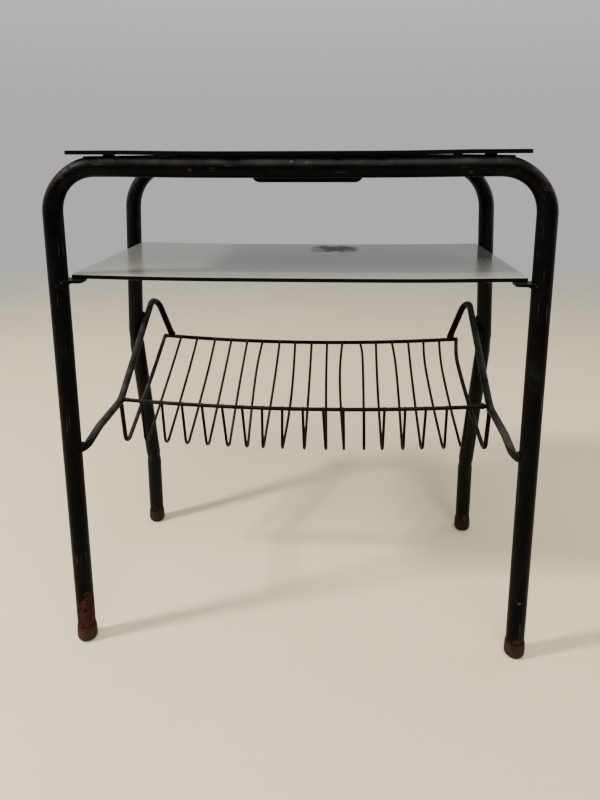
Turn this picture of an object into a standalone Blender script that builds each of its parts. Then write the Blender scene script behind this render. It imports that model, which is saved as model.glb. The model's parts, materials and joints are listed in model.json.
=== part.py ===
"""Side table: two bent tube frames, two panes of black glass and a slanted wire magazine rack.

Metres, +Z up, +X to the right and +Y to the back as seen from the front. The origin lies on the floor, under the
middle of the table's outer box.
"""

import math

import bmesh
import bpy
from mathutils import Vector

# Clearance between two pieces that touch
CLEAR = 0.0003

# Tube frames
TUBE_D = 0.020
TUBE_WALL = 0.0015
FRAME_WIDTH = 0.482
FRAME_GAP = 0.251
FRAME_TOP = 0.541
CORNER_R = 0.046
REAR_CORNER_R = 0.062

# Rear legs: narrower at the top, out to the knee, in to the ankle
REAR_TOP_INSET = 0.0052
KNEE_OUT = 0.0037
KNEE_Z = 0.287
ANKLE_INSET = 0.0125
ANKLE_Z = 0.105
JOGGLE_R = 0.150

# Foot caps
FOOT_D = 0.0222
FOOT_H = 0.018
FOOT_BASE = 0.003
FOOT_EDGE = 0.002

# Flat bars that tie the frames together
BAR_W = 0.038
BAR_T = 0.0035
BAR_LAP = 0.001
BAR_CORNER_R = 0.004

# Glass and what it lies on
GLASS_T = 0.004
GLASS_ARRIS = 0.0006
GLASS_CORNER_R = 0.004
TOP_GLASS_W = 0.444
TOP_GLASS_D = 0.270
PAD_D = 0.012
PAD_T = 0.0009
PAD_INSET = 0.0415
SHELF_Z = 0.4236
SHELF_SIDE_GAP = 0.0015
TAB_REACH = 0.017
TAB_W = 0.018
TAB_T = 0.003
TAB_CORNER_R = 0.003

# Rack rods: along the legs, up past the rear leg, over a hook and down to the rear rail
ROD_D = 0.009
ROD_LEAD = 0.004
ROD_START_Z = 0.2345
ROD_RAMP = 0.043
ROD_RUN_Z = 0.241
ROD_BEND = 0.121
ROD_BEND_Z = 0.2415
ROD_BEND_R = 0.045
HOOK_BACK = 0.050
HOOK_Z = 0.342
HOOK_R = 0.016
HOOK_IN = 0.0226

# Rack rails and wires
FRONT_RAIL_D = 0.005
REAR_RAIL_D = 0.0055
REAR_RAIL_Z = 0.2758
REAR_RAIL_PAST = 0.011
RACK_SAG = 0.008
END_WIRE_D = 0.0055
WIRE_D = 0.0036
WIRE_COUNT = 17
WIRE_REST = 0.62
TROUGH_BACK = 0.010
TROUGH_Z = 0.1762
TROUGH_R = 0.010

# Rod under the rear tube
GRIP_D = 0.007
GRIP_LENGTH = 0.150
GRIP_GAP = 0.0093
GRIP_BEND_R = 0.008

# Facets round a tube, a rod and a wire, and the largest turn of one step in a bend
TUBE_SIDES = 20
ROD_SIDES = 12
WIRE_SIDES = 8
TURN_STEP = math.radians(12)

# Places worked out from the sizes above
TUBE_R = TUBE_D / 2
ROD_R = ROD_D / 2
TOP_AXIS = FRAME_TOP - TUBE_R
FRONT_HALF = FRAME_WIDTH / 2
REAR_TOP_HALF = FRONT_HALF - REAR_TOP_INSET
KNEE_HALF = FRONT_HALF + KNEE_OUT
ANKLE_HALF = FRONT_HALF - ANKLE_INSET
FRONT_Y = (FOOT_D / 2 - FRAME_GAP - HOOK_BACK - ROD_R) / 2
REAR_Y = FRONT_Y + FRAME_GAP
LEG_FOOT = FOOT_BASE + CLEAR


def clear_scene() -> None:
    """Removes every object of the open scene."""
    for obj in list(bpy.data.objects):
        bpy.data.objects.remove(obj, do_unlink=True)


def finish(name: str, colour: tuple, metallic: float, roughness: float) -> bpy.types.Material:
    """Makes a material with one Principled shader."""
    material = bpy.data.materials.new(name)
    material.use_nodes = True
    shader = material.node_tree.nodes["Principled BSDF"]
    shader.inputs["Base Color"].default_value = (*colour, 1.0)
    shader.inputs["Metallic"].default_value = metallic
    shader.inputs["Roughness"].default_value = roughness
    return material


def add_piece(name, bm, material, parent, location=(0, 0, 0), turn=0.0) -> bpy.types.Object:
    """Turns a bmesh into a named, smooth-shaded object under the parent."""
    bmesh.ops.recalc_face_normals(bm, faces=bm.faces)
    mesh = bpy.data.meshes.new(name)
    bm.to_mesh(mesh)
    bm.free()
    mesh.shade_smooth()
    mesh.set_sharp_from_angle(angle=math.radians(35))
    mesh.materials.append(material)
    obj = bpy.data.objects.new(name, mesh)
    bpy.context.collection.objects.link(obj)
    obj.parent = parent
    obj.location = location
    obj.rotation_euler = (0.0, 0.0, turn)
    return obj


def rounded_path(corners: list, radius) -> list:
    """Rounds the inner corners of a polyline with arcs.

    The radius is one number or one for each inner corner, and is limited by the runs beside the corner.
    """
    corners = [Vector(c) for c in corners]
    inner = len(corners) - 2
    radii = list(radius) if isinstance(radius, (list, tuple)) else [radius] * inner
    path = [corners[0]]
    for i in range(1, len(corners) - 1):
        corner = corners[i]
        back = corners[i - 1] - corner
        ahead = corners[i + 1] - corner
        turn = math.pi - back.angle(ahead)
        if turn < 1e-6:
            continue
        room_back = back.length * (0.96 if i == 1 else 0.48)
        room_ahead = ahead.length * (0.96 if i == inner else 0.48)
        tangent = min(radii[i - 1] * math.tan(turn / 2), room_back, room_ahead)
        r = tangent / math.tan(turn / 2)
        u = back.normalized()
        v = ahead.normalized()
        centre = corner + (u + v).normalized() * (r / math.cos(turn / 2))
        start = corner + u * tangent - centre
        axis = (-u).cross(v).normalized()
        side = axis.cross(start)
        steps = max(2, math.ceil(turn / TURN_STEP))
        for k in range(steps + 1):
            a = turn * k / steps
            path.append(centre + start * math.cos(a) + side * math.sin(a))
    path.append(corners[-1])
    return path


def tangents(path: list) -> list:
    """Gives the direction of a polyline at each of its points."""
    result = []
    for i in range(len(path)):
        before = path[max(i - 1, 0)]
        after = path[min(i + 1, len(path) - 1)]
        result.append((after - before).normalized())
    return result


def ring(bm, centre, across, up, radius, sides) -> list:
    """Adds a ring of vertices round a point."""
    made = []
    for k in range(sides):
        a = 2 * math.pi * k / sides
        made.append(bm.verts.new(centre + (across * math.cos(a) + up * math.sin(a)) * radius))
    return made


def join_rings(bm, first: list, second: list) -> None:
    """Fills the band between two rings with quads."""
    n = len(first)
    for k in range(n):
        bm.faces.new((first[k], first[(k + 1) % n], second[(k + 1) % n], second[k]))


def sweep(path: list, radius: float, sides: int, bore: float = 0.0, across=None):
    """Sweeps a round section along a path: a solid rod, or a tube open at both ends if it has a bore."""
    bm = bmesh.new()
    ways = tangents(path)
    start = Vector(across) if across else Vector((1, 0, 0))
    outer, inner = [], []
    for point, way in zip(path, ways):
        start = (start - way * start.dot(way)).normalized()
        up = way.cross(start)
        outer.append(ring(bm, point, start, up, radius, sides))
        if bore:
            inner.append(ring(bm, point, start, up, bore, sides))
    for first, second in zip(outer, outer[1:]):
        join_rings(bm, first, second)
    for first, second in zip(inner, inner[1:]):
        join_rings(bm, first, second)
    for end in (0, -1):
        if bore:
            join_rings(bm, outer[end], inner[end])
        else:
            bm.faces.new(outer[end])
    return bm


def arc(centre, radius, start, end, steps) -> list:
    """Gives points along a flat arc, angles in degrees."""
    points = []
    for k in range(steps + 1):
        a = math.radians(start + (end - start) * k / steps)
        points.append((centre[0] + radius * math.cos(a), centre[1] + radius * math.sin(a)))
    return points


def rounded_rectangle(width, depth, radii, steps=4) -> list:
    """Gives the outline of a rectangle round the origin, with a radius for each corner from +X +Y on."""
    outline = []
    signs = ((1, 1), (-1, 1), (-1, -1), (1, -1))
    for k, ((sx, sy), r) in enumerate(zip(signs, radii)):
        centre = (sx * (width / 2 - r), sy * (depth / 2 - r))
        outline += arc(centre, r, 90 * k, 90 * k + 90, steps)
    return outline


def plate(outline: list, thickness: float, arris: float = 0.0):
    """Extrudes a flat outline upwards from z = 0, with an arris along its top and bottom edges if asked."""
    bm = bmesh.new()
    face = bm.faces.new([bm.verts.new((x, y, 0.0)) for x, y in outline])
    made = bmesh.ops.extrude_face_region(bm, geom=[face])
    top = [g for g in made["geom"] if isinstance(g, bmesh.types.BMVert)]
    bmesh.ops.translate(bm, verts=top, vec=(0, 0, thickness))
    if arris:
        bmesh.ops.recalc_face_normals(bm, faces=bm.faces)
        edges = [e for e in bm.edges if abs(e.verts[0].co.z - e.verts[1].co.z) < 1e-9]
        bmesh.ops.bevel(bm, geom=edges, offset=arris, segments=1, affect="EDGES", clamp_overlap=True)
    return bm


def turned(profile: list, steps: int):
    """Turns an (r, z) profile that starts and ends on the axis into a closed solid."""
    bm = bmesh.new()
    verts = [bm.verts.new((r, 0.0, z)) for r, z in profile]
    edges = [bm.edges.new(pair) for pair in zip(verts, verts[1:])]
    bmesh.ops.spin(
        bm, geom=verts + edges, axis=(0, 0, 1), cent=(0, 0, 0), angle=2 * math.pi, steps=steps, use_merge=True
    )
    bmesh.ops.remove_doubles(bm, verts=bm.verts, dist=1e-6)
    return bm


def rear_half(z: float) -> float:
    """Gives the distance of a rear leg's axis from the middle plane at a height."""
    if z >= KNEE_Z:
        share = (z - KNEE_Z) / (TOP_AXIS - KNEE_Z)
        return KNEE_HALF + (REAR_TOP_HALF - KNEE_HALF) * share
    share = max(0.0, (z - ANKLE_Z) / (KNEE_Z - ANKLE_Z))
    return ANKLE_HALF + (KNEE_HALF - ANKLE_HALF) * share


def make_frames(paint, root) -> None:
    """Makes the two bent tubes."""
    bore = TUBE_R - TUBE_WALL
    half = [(FRONT_HALF, 0, LEG_FOOT), (FRONT_HALF, 0, TOP_AXIS)]
    mirrored = [(-x, y, z) for x, y, z in half]
    path = rounded_path(mirrored + half[::-1], CORNER_R)
    add_piece("front_frame", sweep(path, TUBE_R, TUBE_SIDES, bore, (0, 1, 0)), paint, root, (0, FRONT_Y, 0))
    half = [
        (ANKLE_HALF, 0, LEG_FOOT),
        (ANKLE_HALF, 0, ANKLE_Z),
        (KNEE_HALF, 0, KNEE_Z),
        (REAR_TOP_HALF, 0, TOP_AXIS),
    ]
    mirrored = [(-x, y, z) for x, y, z in half]
    bends = (JOGGLE_R, JOGGLE_R, REAR_CORNER_R, REAR_CORNER_R, JOGGLE_R, JOGGLE_R)
    path = rounded_path(mirrored + half[::-1], bends)
    add_piece("rear_frame", sweep(path, TUBE_R, TUBE_SIDES, bore, (0, 1, 0)), paint, root, (0, REAR_Y, 0))


def make_feet(steel, root) -> None:
    """Makes the four caps that the legs stand in."""
    outer = FOOT_D / 2
    inner = TUBE_R + CLEAR
    edge = arc((outer - FOOT_EDGE, FOOT_EDGE), FOOT_EDGE, -90, 0, 3)
    rim = [(outer, FOOT_H - (outer - inner) / 2), ((outer + inner) / 2, FOOT_H), (inner, FOOT_H)]
    profile = [(0.0, 0.0), *edge, *rim, (inner, FOOT_BASE), (0.0, FOOT_BASE)]
    for end, y, half in (("front", FRONT_Y, FRONT_HALF), ("rear", REAR_Y, ANKLE_HALF)):
        for side, sign in (("left", -1), ("right", 1)):
            add_piece(f"foot_{end}_{side}", turned(profile, TUBE_SIDES), steel, root, (sign * half, y, 0))


def make_bars_and_pads(paint, rubber, root) -> None:
    """Makes the flat bars between the frames and the pads that the top glass lies on."""
    seat = math.sqrt(TUBE_R**2 - (TUBE_R - BAR_T) ** 2) + CLEAR
    length = FRAME_GAP - 2 * seat
    inner_edge = min(FRONT_HALF - CORNER_R, REAR_TOP_HALF - REAR_CORNER_R) - BAR_LAP
    centre = inner_edge + BAR_W / 2
    middle = (FRONT_Y + REAR_Y) / 2
    pad_reach = TOP_GLASS_D / 2 - PAD_INSET
    square = BAR_CORNER_R / 8
    outline = rounded_rectangle(BAR_W, length, (BAR_CORNER_R, square, square, BAR_CORNER_R))
    for side, sign, turn in (("left", -1, math.pi), ("right", 1, 0.0)):
        place = (sign * centre, middle, FRAME_TOP - BAR_T)
        add_piece(f"side_bar_{side}", plate(outline, BAR_T), paint, root, place, turn)
        for end, y in (("front", middle - pad_reach), ("rear", middle + pad_reach)):
            disc = arc((0, 0), PAD_D / 2, 0, 360, TUBE_SIDES)[:-1]
            place = (sign * centre, y, FRAME_TOP + CLEAR)
            add_piece(f"top_pad_{end}_{side}", plate(disc, PAD_T), rubber, root, place)


def make_glass(glass, root) -> None:
    """Makes the two panes."""
    middle = (FRONT_Y + REAR_Y) / 2
    corners = (GLASS_CORNER_R,) * 4
    pane = plate(rounded_rectangle(TOP_GLASS_W, TOP_GLASS_D, corners), GLASS_T, GLASS_ARRIS)
    add_piece("top_glass", pane, glass, root, (0, middle, FRAME_TOP + PAD_T + 2 * CLEAR))
    inner = min(FRONT_HALF, rear_half(SHELF_Z), rear_half(SHELF_Z - GLASS_T)) - TUBE_R
    width = 2 * (inner - SHELF_SIDE_GAP)
    pane = plate(rounded_rectangle(width, FRAME_GAP, corners), GLASS_T, GLASS_ARRIS)
    add_piece("shelf_glass", pane, glass, root, (0, middle, SHELF_Z - GLASS_T))


def make_tabs(paint, root) -> None:
    """Makes the four tabs under the shelf, cut to the curve of the leg that they are welded to."""
    reach = TUBE_R + TAB_REACH
    cope_r = TUBE_R + CLEAR
    swing = math.degrees(math.asin(min(0.95, TAB_W / 2 / cope_r)))
    cope = arc((0, 0), cope_r, 180 - swing, 180 + swing, 8)
    half = cope[0][1]
    lower = arc((TAB_CORNER_R - reach, TAB_CORNER_R - half), TAB_CORNER_R, 270, 180, 3)
    upper = arc((TAB_CORNER_R - reach, half - TAB_CORNER_R), TAB_CORNER_R, 180, 90, 3)
    outline = cope + lower + upper
    z = SHELF_Z - GLASS_T - CLEAR - TAB_T
    for end, y, axis in (("front", FRONT_Y, FRONT_HALF), ("rear", REAR_Y, rear_half(z + TAB_T / 2))):
        for side, sign, turn in (("left", -1, math.pi), ("right", 1, 0.0)):
            name = f"shelf_tab_{end}_{side}"
            add_piece(name, plate(outline, TAB_T), paint, root, (sign * axis, y, z), turn)


def make_grip(paint, root) -> None:
    """Makes the short U rod under the rear tube."""
    top = FRAME_TOP - TUBE_D - CLEAR
    radius = GRIP_D / 2
    low = FRAME_TOP - TUBE_D - GRIP_GAP - radius
    end = GRIP_LENGTH / 2 - radius
    path = rounded_path([(-end, 0, top), (-end, 0, low), (end, 0, low), (end, 0, top)], GRIP_BEND_R)
    add_piece("rear_grip_rod", sweep(path, radius, ROD_SIDES, 0.0, (0, 1, 0)), paint, root, (0, REAR_Y, 0))


class Rack:
    """The places that the rods, rails and wires of the rack share."""

    def __init__(self) -> None:
        self.bend_y = FRONT_Y + ROD_BEND
        self.hook_y = REAR_Y + HOOK_BACK
        run = math.atan2(ROD_BEND_Z - ROD_RUN_Z, ROD_BEND - ROD_RAMP)
        climb = math.atan2(HOOK_Z - ROD_BEND_Z, self.hook_y - self.bend_y)
        cross_z = ROD_BEND_Z + math.tan(climb) * (REAR_Y - self.bend_y)
        beside = TUBE_R + CLEAR + ROD_R
        self.rod_front_x = FRONT_HALF - beside
        self.rod_rear_x = rear_half(cross_z) - beside
        self.hook_x = self.rod_x(self.hook_y)
        self.rod_end_x = self.hook_x - HOOK_IN
        # The front rail meets the rods in the middle of their bend, where they lie at this tilt
        self.tilt = (run + climb) / 2
        lift = ROD_BEND_R / math.cos((climb - run) / 2) - ROD_BEND_R
        self.rail_y = self.bend_y - lift * math.sin(self.tilt)
        self.rail_z = ROD_BEND_Z + lift * math.cos(self.tilt)
        self.front_half = self.rod_x(self.rail_y) - ROD_R - CLEAR
        self.rear_half = self.rod_end_x + REAR_RAIL_PAST

    def rod_x(self, y: float) -> float:
        """Gives a side rod's distance from the middle plane: it runs straight from leg to leg."""
        share = (y - FRONT_Y) / FRAME_GAP
        return self.rod_front_x + (self.rod_rear_x - self.rod_front_x) * share

    @staticmethod
    def sag(x: float, half: float) -> float:
        """Gives how far a rail, or the trough, hangs down at a place along it."""
        return RACK_SAG * max(0.0, 1 - (x / half) ** 2)

    def wire_points(self, front_x: float, rear_x: float) -> tuple:
        """Gives the places where a wire meets the front rail, turns at the bottom and meets the rear rail."""
        front_sag = self.sag(front_x, self.front_half)
        front = Vector((front_x, self.rail_y, self.rail_z - front_sag))
        rear = Vector((rear_x, self.hook_y, REAR_RAIL_Z - self.sag(rear_x, self.rear_half)))
        share = TROUGH_BACK / (self.hook_y - self.rail_y)
        low = front.lerp(rear, share)
        low.z = TROUGH_Z - front_sag
        return front, low, rear


def beside_rail(low, rail, rail_d: float, wire_d: float, inward: int, rest: float) -> Vector:
    """Gives the end of a wire that comes up from the trough to the inner side of a rail.

    A rest of 1 lays the wire along the rail's side, and less than that stops it short, on the rail's shoulder.
    """
    way = (rail - low).normalized()
    aside = Vector((0, way.z, -way.y)).normalized() * inward
    reach = rail_d / 2 + CLEAR
    offset = (reach + wire_d / 2) * rest
    short = math.sqrt(max(0.0, reach**2 - (offset - wire_d / 2) ** 2))
    return rail + aside * offset - way * short


def make_rack_rods(rack: Rack, paint, root) -> None:
    """Makes the two side rods."""
    start_y = FRONT_Y - ROD_LEAD
    ramp_y = FRONT_Y + ROD_RAMP
    rail_top = REAR_RAIL_Z - rack.sag(rack.rod_end_x, rack.rear_half) + REAR_RAIL_D / 2
    slant = math.atan2(HOOK_IN, HOOK_Z - rail_top)
    end_z = rail_top + CLEAR + ROD_R * math.sin(slant)
    for side, sign in (("left", -1), ("right", 1)):
        corners = [
            (sign * rack.rod_x(start_y), start_y, ROD_START_Z),
            (sign * rack.rod_x(ramp_y), ramp_y, ROD_RUN_Z),
            (sign * rack.rod_x(rack.bend_y), rack.bend_y, ROD_BEND_Z),
            (sign * rack.hook_x, rack.hook_y, HOOK_Z),
            (sign * rack.rod_end_x, rack.hook_y, end_z),
        ]
        path = rounded_path(corners, (ROD_BEND_R, ROD_BEND_R, HOOK_R))
        add_piece(f"rack_rod_{side}", sweep(path, ROD_R, ROD_SIDES), paint, root)


def make_rack_rails(rack: Rack, paint, root) -> None:
    """Makes the two rails that hang between the rods."""
    steps = WIRE_COUNT + 1
    rails = (
        ("rack_front_rail", rack.rail_y, rack.rail_z, rack.front_half, FRONT_RAIL_D),
        ("rack_rear_rail", rack.hook_y, REAR_RAIL_Z, rack.rear_half, REAR_RAIL_D),
    )
    for name, y, z, half, diameter in rails:
        xs = [half * (2 * k / steps - 1) for k in range(steps + 1)]
        path = [Vector((x, 0, -rack.sag(x, half))) for x in xs]
        add_piece(name, sweep(path, diameter / 2, ROD_SIDES, 0.0, (0, 1, 0)), paint, root, (0, y, z))


def make_rack_wires(rack: Rack, paint, root) -> None:
    """Makes the V wires: a thick one under each rod and thin ones evenly between them."""
    front_end = rack.rod_x(rack.rail_y)
    rear_end = rack.rear_half - END_WIRE_D / 2
    below = Vector((0, math.sin(rack.tilt), -math.cos(rack.tilt)))
    for side, sign in (("left", -1), ("right", 1)):
        front, low, rear = rack.wire_points(sign * front_end, sign * rear_end)
        lean = (low - front).normalized().cross(below).length
        start = front + below * (ROD_R + CLEAR + lean * END_WIRE_D / 2)
        end = beside_rail(low, rear, REAR_RAIL_D, END_WIRE_D, -1, WIRE_REST)
        path = rounded_path([start, low, end], TROUGH_R)
        add_piece(f"rack_end_wire_{side}", sweep(path, END_WIRE_D / 2, ROD_SIDES), paint, root)
    for k in range(1, WIRE_COUNT + 1):
        place = 2 * k / (WIRE_COUNT + 1) - 1
        front, low, rear = rack.wire_points(place * front_end, place * rear_end)
        start = beside_rail(low, front, FRONT_RAIL_D, WIRE_D, 1, 1.0)
        end = beside_rail(low, rear, REAR_RAIL_D, WIRE_D, -1, WIRE_REST)
        path = rounded_path([start, low, end], TROUGH_R)
        add_piece(f"rack_wire_{k:02d}", sweep(path, WIRE_D / 2, WIRE_SIDES), paint, root)


def main() -> None:
    """Builds the table."""
    clear_scene()
    root = bpy.data.objects.new("side_table", None)
    bpy.context.collection.objects.link(root)
    paint = finish("black_paint", (0.012, 0.012, 0.013), 0.0, 0.38)
    glass = finish("black_glass", (0.006, 0.006, 0.007), 0.0, 0.06)
    rubber = finish("pad_rubber", (0.02, 0.02, 0.02), 0.0, 0.8)
    steel = finish("rusty_steel", (0.075, 0.045, 0.03), 0.5, 0.65)
    make_frames(paint, root)
    make_feet(steel, root)
    make_bars_and_pads(paint, rubber, root)
    make_glass(glass, root)
    make_tabs(paint, root)
    make_grip(paint, root)
    rack = Rack()
    make_rack_rods(rack, paint, root)
    make_rack_rails(rack, paint, root)
    make_rack_wires(rack, paint, root)


main()
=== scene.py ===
"""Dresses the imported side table: painted steel tube, black glass, a wire rack, welds, rust and dust.

Metres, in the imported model's frame: +X to the right, +Y to the back, +Z up, with the floor at z = 0.
"""

import json
import logging
import math
from dataclasses import dataclass, field
from enum import Enum

import bmesh
import bpy
from mathutils import Matrix, Vector, noise

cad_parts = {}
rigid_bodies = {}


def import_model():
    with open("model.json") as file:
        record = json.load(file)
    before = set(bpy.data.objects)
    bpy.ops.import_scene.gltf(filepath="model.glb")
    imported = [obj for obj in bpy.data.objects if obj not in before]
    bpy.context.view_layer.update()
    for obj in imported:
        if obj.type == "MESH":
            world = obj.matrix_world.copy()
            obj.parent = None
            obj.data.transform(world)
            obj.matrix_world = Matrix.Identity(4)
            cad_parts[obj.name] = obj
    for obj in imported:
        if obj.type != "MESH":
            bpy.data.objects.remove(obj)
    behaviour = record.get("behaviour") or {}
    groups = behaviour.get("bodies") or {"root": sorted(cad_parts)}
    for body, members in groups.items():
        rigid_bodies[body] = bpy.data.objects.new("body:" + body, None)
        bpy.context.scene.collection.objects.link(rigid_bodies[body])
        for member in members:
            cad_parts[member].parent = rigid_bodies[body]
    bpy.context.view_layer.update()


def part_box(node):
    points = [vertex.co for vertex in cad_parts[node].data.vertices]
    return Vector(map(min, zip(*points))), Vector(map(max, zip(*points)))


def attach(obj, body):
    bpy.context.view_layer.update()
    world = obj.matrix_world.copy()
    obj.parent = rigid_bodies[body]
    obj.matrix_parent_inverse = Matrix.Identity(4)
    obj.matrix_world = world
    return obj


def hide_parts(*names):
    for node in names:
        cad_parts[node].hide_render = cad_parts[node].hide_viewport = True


Tree = bpy.types.NodeTree
Node = bpy.types.Node
Socket = bpy.types.NodeSocket
Material = bpy.types.Material
Mesh = bmesh.types.BMesh
Vert = bmesh.types.BMVert
Edge = bmesh.types.BMEdge
Triple = tuple[float, float, float]

LOG = logging.getLogger("side_table")
BODY = "root"
ENDS = ("front", "rear")
# A vertex attribute: where the point would lie on the bar before it was bent, as (along, across, across)
BAR = "bar"
# Sockets of a Mix node for colours: the share of the upper colour, the colour below and the one above
SHARE, UNDER, OVER = 0, 6, 7
# Places nearer to each other than this are the same
SAME = 1e-6
# Angle in radians from which an edge of a block counts as one
SHARP = 0.5
# A face lies flat if its normal has at least this much Z
FLAT = 0.9


class Slot(Enum):
    """The record's material slots."""

    PAINT = "black_paint"
    GLASS = "black_glass"
    STEEL = "rusty_steel"
    RUBBER = "pad_rubber"


class Side(Enum):
    """The two sides of the table, with the sign of X on each."""

    LEFT = -1
    RIGHT = 1

    @property
    def word(self) -> str:
        """The side's name as the nodes use it."""
        return self.name.lower()


def linear(hex_colour: str) -> tuple[float, float, float, float]:
    """Turns an sRGB hex colour into linear RGBA.

    Args:
        hex_colour: Six hex digits with a leading hash sign.

    Returns:
        Red, green, blue and an alpha of 1.
    """
    channels = []
    for start in (1, 3, 5):
        value = int(hex_colour[start : start + 2], 16) / 255
        channels.append(value / 12.92 if value <= 0.04045 else ((value + 0.055) / 1.055) ** 2.4)
    return (*channels, 1.0)


def feed(tree: Tree, node: Node, inputs: dict) -> None:
    """Sets or links inputs of a node.

    Args:
        tree: The node tree that holds the node.
        node: The node.
        inputs: Socket name or number to a value, to the socket that feeds it, or to a node, which feeds it
            from its first output in use.
    """
    for key, value in inputs.items():
        if isinstance(value, Node):
            value = next(output for output in value.outputs if output.enabled)
        if isinstance(value, Socket):
            tree.links.new(value, node.inputs[key])
        else:
            node.inputs[key].default_value = value


def add_node(tree: Tree, kind: str, inputs: dict | None = None, **settings: object) -> Node:
    """Adds a shader node with its settings and links.

    Args:
        tree: The node tree that gets the node.
        kind: The node's type without the ShaderNode in front, such as Mix.
        inputs: What feed takes.
        **settings: Properties of the node.

    Returns:
        The new node.
    """
    node = tree.nodes.new(f"ShaderNode{kind}")
    for name, value in settings.items():
        setattr(node, name, value)
    feed(tree, node, inputs or {})
    return node


def new_material(name: str) -> tuple[Material, Tree, Node]:
    """Makes a material with an empty Principled shader.

    Args:
        name: The material's name.

    Returns:
        The material, its node tree and its shader.
    """
    material = bpy.data.materials.new(name)
    material.use_nodes = True
    tree = material.node_tree
    return material, tree, tree.nodes["Principled BSDF"]


@dataclass(frozen=True)
class Patches:
    """Patches where a noise passes a limit: their size, and its values where one begins and is full."""

    size: float
    start: float
    full: float
    most: float = 1.0
    detail: float = 2.0
    roughness: float = 0.5
    distortion: float = 0.0

    def mask(self, tree: Tree, place: Socket | Node) -> Node:
        """Marks the patches.

        Args:
            tree: The material's nodes.
            place: The coordinates that they are drawn in.

        Returns:
            0 outside the patches, rising to the most inside.
        """
        grain = {"Detail": self.detail, "Roughness": self.roughness, "Distortion": self.distortion}
        cloud = add_node(tree, "TexNoise", {"Vector": place, "Scale": 1 / self.size, **grain})
        limits = {"From Min": self.start, "From Max": self.full, "To Max": self.most}
        return add_node(tree, "MapRange", {"Value": cloud, **limits})


@dataclass(frozen=True)
class RustSpot:
    """A place where the steel has rusted; bite tells how far the coat is broken there."""

    centre: Triple
    radius: float
    bite: float = 0.7


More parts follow.
